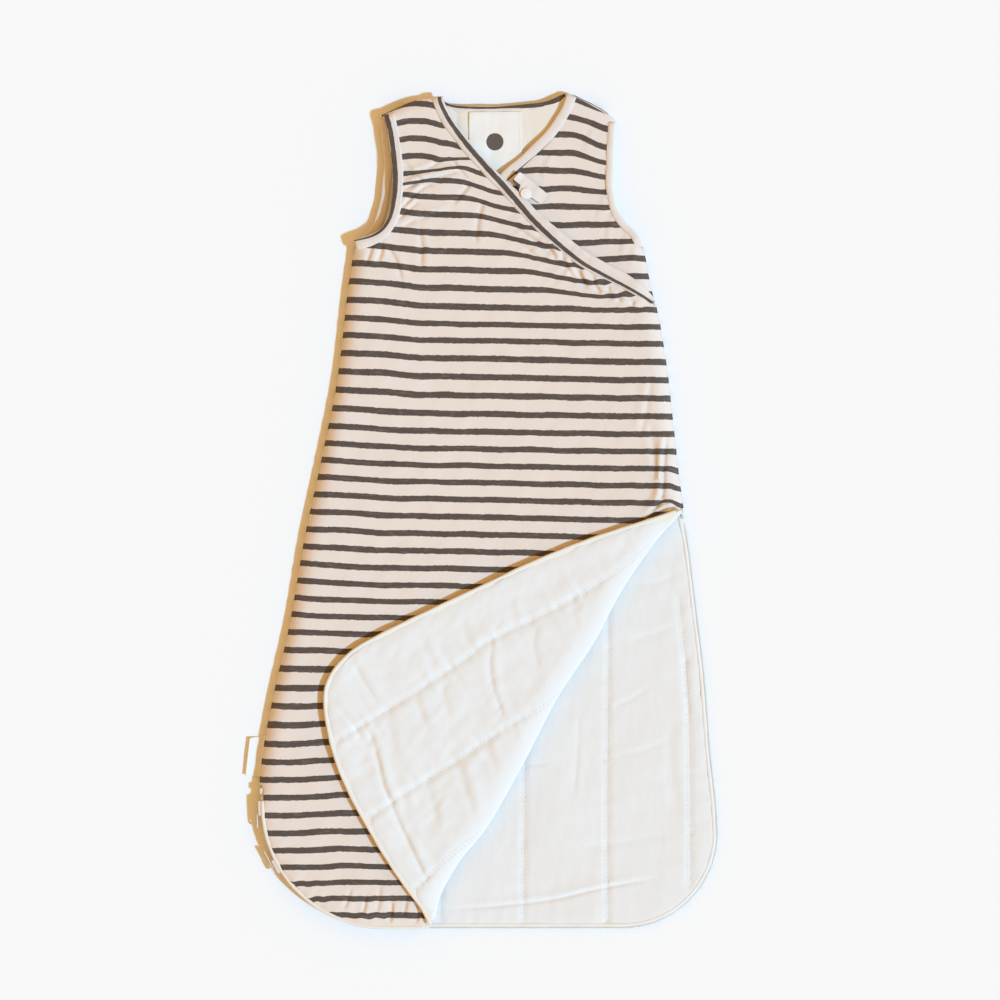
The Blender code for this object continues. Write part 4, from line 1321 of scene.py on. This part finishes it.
def make_bindings(looks):
    wrap = band(
        "wrap_binding_cloth", smooth(WRAP_EDGE), WRAP_NEAR, WRAP_FAR, wrap_binding_height, 3.2, WRAP_STRIPE,
    )
    bound(wrap, looks, ["neckline_binding"])
    neck = band(
        "back_neck_binding_cloth", smooth(BACK_NECK), -7.5, 0.5, 4.6, 2.8,
        ([(0, -1.2), (0.6, -1.0), (1, -1.8)], [(0, 1.3), (0.5, 1.0), (0.75, 2.4), (1, 2.6)]),
    )
    bound(neck, looks, ["neckline_binding"])
    under = band(
        "right_neck_binding_cloth", smooth(UNDER_EDGE)[:90], -0.5, 8.5, above(under_height, -1.4), 2.8,
        ([(0, 9.6), (0.2, 9.2), (0.5, 8.4), (1, 8.4)], [(0, 0.3), (0.2, 0.5), (0.4, 1.2), (1, 1.2)]),
    )
    bound(under, looks, ["neckline_binding"])
    left = band(
        "left_armhole_front_binding_cloth", smooth(LEFT_ARM_FRONT), -0.4, 9.2,
        above(smooth_front, -1.4), 3.0,
        ([(0, 2.2), (0.5, 2.0), (0.8, 1.6), (1, 0.6)], [(0, 2.3), (0.5, 2.4), (0.85, 1.2), (1, 0.5)]),
    )
    bound(left, looks, ["left_armhole_binding"])
    left_back = band("left_armhole_back_binding_cloth", smooth(LEFT_ARM_BACK), 0, 8.0, 4.6, 2.8)
    bound(left_back, looks, ["left_armhole_binding"])
    right = band(
        "right_armhole_front_binding_cloth", smooth(RIGHT_ARM), -6.2, 0.2, above(under_height, -1.2), 2.6,
    )
    bound(right, looks, ["right_armhole_binding"])
    right_back = band("right_armhole_back_binding_cloth", smooth(RIGHT_ARM), -7.4, -0.4, 1.4, 2.8)
    bound(right_back, looks, ["right_armhole_binding"])


def make_binding_threads(looks):
    edge = smooth(WRAP_EDGE)
    near = widths(WRAP_NEAR, np.linspace(0, 1, len(edge)))
    rows = [
        (beside(edge, near + 1.2)[:-3], above(wrap_binding_height, 3.2)),
        (beside(smooth(LEFT_ARM_FRONT), 7.4), above(smooth_front, 1.6)),
        (beside(smooth(RIGHT_ARM), -5.9), above(under_height, 1.4)),
    ]
    for i, (row, heights) in enumerate(rows):
        sewn = stitches(f"binding_thread_{i + 1}", [row], heights, 2.2, 1.2, 0.16)
        dress(sewn, looks["thread"], "root")


def seam_bead(name, points, node, looks, prints, height=SEAM_HEIGHT):
    """The ridge where two panels are sewn together and turned out."""
    line = resample(smooth(points), 2.5)
    along = lengths(line)
    z = height + 0.25 * np.sin(along / 6.0)
    bead = tube(name, np.column_stack([line, z]), 0.95 + 0.12 * np.sin(along / 2.1), 8, 1.1)
    layer = bead.data.attributes.new("print", "FLOAT_VECTOR", "POINT")
    flat = np.repeat(prints(line), 8, axis=0)
    values = np.column_stack([flat, np.zeros(len(flat))]) * MM
    layer.data.foreach_set("vector", values.astype(np.float32).ravel())
    dress(bead, looks["striped"], "root", [node])


def make_seams(looks):
    seam_bead("left_side_seam_bead", LEFT_SIDE, "left_side_seam", looks, front_print)
    seam_bead("right_side_seam_bead", RIGHT_SIDE, "right_side_seam", looks, right_side_print)
    seam_bead("left_shoulder_seam_bead", LEFT_SHOULDER, "left_shoulder_seam", looks, front_print, 6.5)
    seam_bead("right_shoulder_seam_bead", RIGHT_SHOULDER, "right_shoulder_seam", looks, under_print)


# ---------------------------------------------------------------- the zip


# How far in from the hem the tape's two edges and the coil lie, and how high the coils are.
TAPE_INSETS = (1.2, 13.2)
COIL_INSET = 1.1
COIL_PITCH = 1.5
BACK_COIL_HEIGHT = 3.5
FRONT_COIL_HEIGHT = 10.5


def helix(name, line, height, looks, nodes, body, hand=1):
    """A zip's coil: a nylon wire wound round a line."""
    wound, wire = 0.72, 0.34
    line = resample(line, COIL_PITCH / 8)
    turn = lengths(line) / COIL_PITCH * 2 * math.pi
    left = normals(line)
    flat = line + left * (wound * np.cos(turn))[:, None]
    z = height + hand * wound * np.sin(turn)
    coil = tube(name, np.column_stack([flat, z]), wire, 5)
    return dress(coil, looks["nylon"], body, nodes)


def tape_strip(name, lines, heights, looks, nodes, body):
    """A narrow woven tape between two lines that have as many points."""
    near, far = (resample(line, 3.0) for line in lines)
    count = min(len(near), len(far))
    near, far = (resample(line, lengths(line)[-1] / (count - 1))[:count] for line in (near, far))
    count = min(len(near), len(far))
    shares = np.linspace(0, 1, 6)
    points = np.vstack([near[:count] * (1 - s) + far[:count] * s for s in shares])
    z = heights(points)
    faces = []
    for r in range(len(shares) - 1):
        for i in range(count - 1):
            a = r * count + i
            faces.append((a, a + 1, a + count + 1, a + count))
    tape = new_mesh(name, np.column_stack([points, z]), faces)
    weld(tape, 0.001)
    thicken(tape, 0.5, 0.0)
    dress(tape, looks["tape"], body, nodes)
    return tape


def make_zip(looks):
    def back_tape_height(points):
        return 3.6 - 2.1 * ease(nearest(points, SEAMS["rim"])[0], 6, 11)

    def flap_tape_height(points):
        return FLAP_TOP - 0.2 + rim_lift(points) - 1.7 * ease(nearest(points, FLAP_RIM)[0], 5.5, 10)

    def front_tape_height(points):
        return np.full(len(points), 11.0)

    tape_strip(
        "zip_tape_back_cloth", [hem(inset) for inset in TAPE_INSETS], back_tape_height, looks,
        ["zip_tape_back"], "root",
    )
    left = [resample(hem_left(inset), 2.0) for inset in TAPE_INSETS]
    left = [line[past_fold(line) < fold_edge(up_fold(line)) - 1] for line in left]
    tape_strip(
        "zip_tape_front_cloth", left, front_tape_height, looks, ["zip_tape_front"], "root",
    )
    right = [beside(FLAP_RIM, -inset) for inset in TAPE_INSETS]
    right = [line[past_fold(line) < fold_edge(up_fold(line)) - 1] for line in right]
    tape_strip(
        "zip_tape_corner_cloth", right, flap_tape_height, looks, ["zip_tape_flap"], "flap",
    )
    helix("zip_coil_back_wire", hem(COIL_INSET)[4:-5], BACK_COIL_HEIGHT, looks, ["zip_coil_back"], "root")
    rim = resample(hem_left(COIL_INSET), 2.0)[4:-3]
    helix("zip_coil_front_wire", rim, FRONT_COIL_HEIGHT, looks, ["zip_coil_front"], "root", -1)
    rim = beside(FLAP_RIM, -COIL_INSET)
    rim = rim[past_fold(rim) < fold_edge(up_fold(rim)) - 2]
    height = FLAP_TOP - 1.3 + rim_lift(resample(rim, COIL_PITCH / 8))
    helix("zip_coil_corner_wire", rim, height, looks, ["zip_coil_flap"], "flap")
    piping("hem_piping_back", hem(3.6)[4:-1], back_piping_height, looks, "root", "pale_tape", 1.75, 0.5)
    piping("hem_piping_front", resample(hem_left(2.3), 2.0)[6:-3], front_hem_height, looks, "root")
    piping("hem_piping_corner", beside(FLAP_RIM, -2.2)[4:-5], above(flap_tape_height, 0.6), looks, "flap")


def back_piping_height(points):
    return np.full(len(points), 4.0)


def front_hem_height(points):
    return np.full(len(points), 12.6)


def piping(name, line, heights, looks, body, look="tape", size=1.6, squash=0.62):
    """The soft rolled edge beside the zip."""
    along = lengths(line)
    radius = size + 0.12 * np.sin(along / 4.1) + 0.1 * np.sin(along / 9.7)
    height = heights(line) + 0.12 * np.sin(along / 6.1)
    roll = tube(name, np.column_stack([line, height]), radius, 12, squash)
    dress(roll, looks[look], body)


def make_metalwork(looks, nodes):
    """Gives the sliders, pulls and stops rounded edges and a painted finish."""
    for name in ("upper_slider", "lower_slider", "upper_pull", "lower_pull", "zip_end_stop", "zip_top_stop"):
        thing = nodes[name]
        soften = thing.modifiers.new("rounded_edges", "BEVEL")
        soften.width = 0.00025
        soften.segments = 2
        soften.limit_method = "ANGLE"
        repaint(thing, looks["metal"])
    for name in ("snap_stud", "snap_backing", "snap_socket"):
        repaint(nodes[name], looks["plastic"])


def repaint(thing, material):
    """Replaces a frame node's materials."""
    thing.data.materials.clear()
    thing.data.materials.append(material)


# ---------------------------------------------------------------- tab, snap and labels

TAB_SEWN_END = np.array([28.2, 302.5])
TAB_FREE_END = np.array([54.2, 282.0])
TAB_HALF = 5.5
SNAP_CENTRE = np.array([37.6, 286.9])
SNAP_RADIUS = 5.1


def make_tab(looks):
    """The snap tab: a doubled strip that curls at its sewn end, with painted shade along one edge under the
    curl.
    """
    way = (TAB_FREE_END - TAB_SEWN_END) / np.linalg.norm(TAB_FREE_END - TAB_SEWN_END)
    side = np.array([-way[1], way[0]])
    reach = float(np.linalg.norm(TAB_FREE_END - TAB_SEWN_END))
    outline = [
        (0, -TAB_HALF + 1), (1.5, -TAB_HALF), (8, -TAB_HALF - 0.6), (12, -9.4), (17, -11.4), (22, -9.4),
        (23, -TAB_HALF - 0.6), (reach, -TAB_HALF), (reach + 0.6, 0), (reach, TAB_HALF),
        (10, TAB_HALF + 0.3), (1.5, TAB_HALF), (0, TAB_HALF - 1),
    ]
    flat, faces = fill(np.array(outline, float), 1.3, (0.4, 0.9))
    curl = 2.2 * (1 - ease(flat[:, 0], 0, 7)) ** 1.5
    bend = 0.4 * np.sin(flat[:, 0] / 4.0) + 0.35 * drop(np.abs(np.abs(flat[:, 1]) - TAB_HALF), 2.0) * -1
    z = 15.9 + curl + bend - 2.4 * ease(flat[:, 0], 21, reach)
    places = TAB_SEWN_END + flat[:, :1] * way + flat[:, 1:] * side
    # Painted shade: dark ink along one edge of the curled sewn end stands for the shadowed hollow under the
    # curl, and turns to plain cream past it.
    stripe = (flat[:, 1] + 5.2) * 1.5 + STRIPE_PITCH * ease(flat[:, 0], 8, 12)
    prints = np.column_stack([flat[:, 0], np.clip(stripe, -STRIPE_PITCH / 2, STRIPE_PITCH / 2)])
    tab = new_mesh("snap_tab_cloth", np.column_stack([places, z]), faces, prints)
    thicken(tab, 0.9, 0.0)
    dress(tab, looks["binding"], "snap_tab", ["snap_tab"])


def turned(name, profile, centre, sides=48):
    """A turned piece from (radius, height) rings, closed at its centre."""
    points, faces = [], []
    for radius, height in profile:
        for i in range(sides):
            b = 2 * math.pi * i / sides
            points.append((centre[0] + radius * math.cos(b), centre[1] + radius * math.sin(b), height))
    for r in range(len(profile) - 1):
        for i in range(sides):
            j = (i + 1) % sides
            faces.append((r * sides + i, r * sides + j, (r + 1) * sides + j, (r + 1) * sides + i))
    faces.append(tuple(range(sides))[::-1])
    faces.append(tuple((len(profile) - 1) * sides + i for i in range(sides)))
    return new_mesh(name, points, faces)


# The cap's section, from its under side round its rim to its dished top: (radius, rise).
CAP_BASE = 16.6
CAP_SECTION = (
    (1.2, 0), (4.7, 0), (5.0, 0.15), (SNAP_RADIUS, 0.45), (5.0, 0.8), (4.6, 1.05), (4.2, 1.15), (3.9, 1.05),
    (3.7, 1.0), (3.2, 1.1), (2.2, 1.3), (1.0, 1.42), (0.15, 1.45),
)


def make_snap(looks):
    profile = [(radius, CAP_BASE + rise) for radius, rise in CAP_SECTION]
    cap = turned("snap_button_cap", profile, SNAP_CENTRE)
    dress(cap, looks["plastic"], "snap_tab", ["snap_cap"])


def label(name, corners, height, looks, body, node):
    """A woven label with a slightly rippled face."""
    outline = np.array(corners, float)
    flat, faces = fill(outline, 1.6, (0.5,))
    z = height(flat) + 0.25 * waves(flat, 22, 61)
    thing = thicken(new_mesh(name, np.column_stack([flat, z]), faces), 0.4)
    dress(thing, looks["label"], body, [node])
    return thing


# The side label bends at its seam, on this line, and lies out this way.
LABEL_HINGE = np.array([-199.6, -204.0])
LABEL_OUT = np.array([-0.993, 0.117])


def make_labels(looks):
    left, right, low, high = -14.3, 33.7, 302.0, 362.0

    def lie(points):
        return back_height(points) + 0.9

    corners = [(left, low), (right, low), (right + 0.5, high), (left + 0.3, high - 0.5)]
    label("neck_label_cloth", corners, lie, looks, "root", "neck_label")
    near, far, top = left + 1.5, right - 1.5, high - 2
    edge = np.array([(near, low + 1.5), (near, top), (far, top), (far, low + 1.5)])
    sewn = stitches("neck_label_thread", [edge], above(lie, 0.05), 1.8, 1.4, 0.14)
    dress(sewn, looks["thread"], "root")
    disc_centre = np.array([9.5, 334.5])
    flat, faces = fill(arc(disc_centre, 7.8, 0, 354, 6), 1.5, (0.3,))
    height = lie(flat) + 0.25 * waves(flat, 22, 61) + 0.12
    disc = new_mesh("neck_label_round_mark", np.column_stack([flat, height]), faces)
    thicken(disc, 0.1)
    dress(disc, looks["mark"], "root")

    def beside_seam(points):
        out = (points - LABEL_HINGE) @ LABEL_OUT
        return 0.85 + 3.1 * ease(out, 5.5, 14) + 3.6 * (1 - ease(out, -1.6, 0.1))

    side = [
        (-197.6, -203.5), (-213.0, -206.0), (-216.9, -240.0), (-202.9, -241.8), (-202.3, -236.0),
        (-199.0, -212.0),
    ]
    sewn_in = label("side_label_cloth", side[::-1], beside_seam, looks, None, "side_label")
    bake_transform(sewn_in)


# ---------------------------------------------------------------- light and camera

VIEW_CENTRE = (14.1, 10.0)
VIEW_WIDTH = 905.0
VIEW_PLANE = 12.0
LENS = 135.0
SENSOR = 36.0


def make_camera():
    data = bpy.data.cameras.new("camera")
    data.lens = LENS
    data.sensor_width = SENSOR
    camera = bpy.data.objects.new("camera", data)
    distance = VIEW_WIDTH * LENS / SENSOR + VIEW_PLANE
    camera.location = (VIEW_CENTRE[0] * MM, VIEW_CENTRE[1] * MM, distance * MM)
    data.clip_end = 50.0
    bpy.context.scene.collection.objects.link(camera)
    bpy.context.scene.camera = camera


AMBIENT = (0.79, 0.485, 0.19)
SUN = (0.302, 0.654, 1.0)
SUN_STRENGTH = 3.85
SUN_ELEVATION = 45.0
SUN_BEARING = -24.0


def make_light():
    world = bpy.data.worlds.new("studio")
    world.use_nodes = True
    background = world.node_tree.nodes["Background"]
    background.inputs["Color"].default_value = (*AMBIENT, 1.0)
    background.inputs["Strength"].default_value = 1.0
    bpy.context.scene.world = world
    data = bpy.data.lights.new("key", "SUN")
    data.color = SUN
    data.energy = SUN_STRENGTH
    data.angle = math.radians(4.5)
    key = bpy.data.objects.new("key", data)
    e, b = math.radians(SUN_ELEVATION), math.radians(SUN_BEARING)
    towards = Vector((-math.cos(e) * math.cos(b), -math.cos(e) * math.sin(b), -math.sin(e)))
    key.rotation_mode = "QUATERNION"
    key.rotation_quaternion = towards.to_track_quat("-Z", "Y")
    bpy.context.scene.collection.objects.link(key)
    bpy.context.scene.view_settings.view_transform = "Standard"


def make_floor(looks):
    mesh = bpy.data.meshes.new("floor")
    mesh.from_pydata([(-4, -4, 0), (4, -4, 0), (4, 4, 0), (-4, 4, 0)], [], [(0, 1, 2, 3)])
    floor = bpy.data.objects.new("floor", mesh)
    mesh.materials.append(looks["floor"])
    bpy.context.scene.collection.objects.link(floor)


def make_looks():
    return {
        "striped": striped_cotton("striped_cotton", CREAM, CREAM_WARM),
        "binding": striped_cotton("cream_binding", BINDING, BINDING_PALE),
        "muslin": gauze("muslin_lining", MUSLIN, MUSLIN_WARM, neck=MUSLIN_NECK_PAINTED_SHADE),
        "thread": twill("sewing_thread", THREAD, MUSLIN, 0.0004),
        "tape": twill("zip_tape", TAPE, TAPE_PALE),
        "pale_tape": twill("zip_tape_pale", TAPE_PALE, MUSLIN),
        "label": gauze("label_cotton", LABEL, LABEL, 0.0004, 0.4),
        "mark": printed_disc("label_round_ink"),
        "nylon": moulded("zip_nylon", NYLON, 0.4),
        "metal": moulded("zip_painted_metal", METAL, 0.3, 0.25),
        "plastic": moulded("snap_plastic", PLASTIC, 0.25, 0.0, 0.3),
        "floor": floor_paper("floor_paper"),
    }


def main():
    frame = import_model()
    make_camera()
    make_light()
    looks = make_looks()
    make_floor(looks)
    seam_distance(np.zeros((1, 2)), "left")
    make_back(looks)
    make_right_front(looks)
    make_front(looks)
    make_flap(looks)
    make_bindings(looks)
    make_binding_threads(looks)
    make_seams(looks)
    make_zip(looks)
    make_metalwork(looks, frame["nodes"])
    make_tab(looks)
    make_snap(looks)
    make_labels(looks)


main()
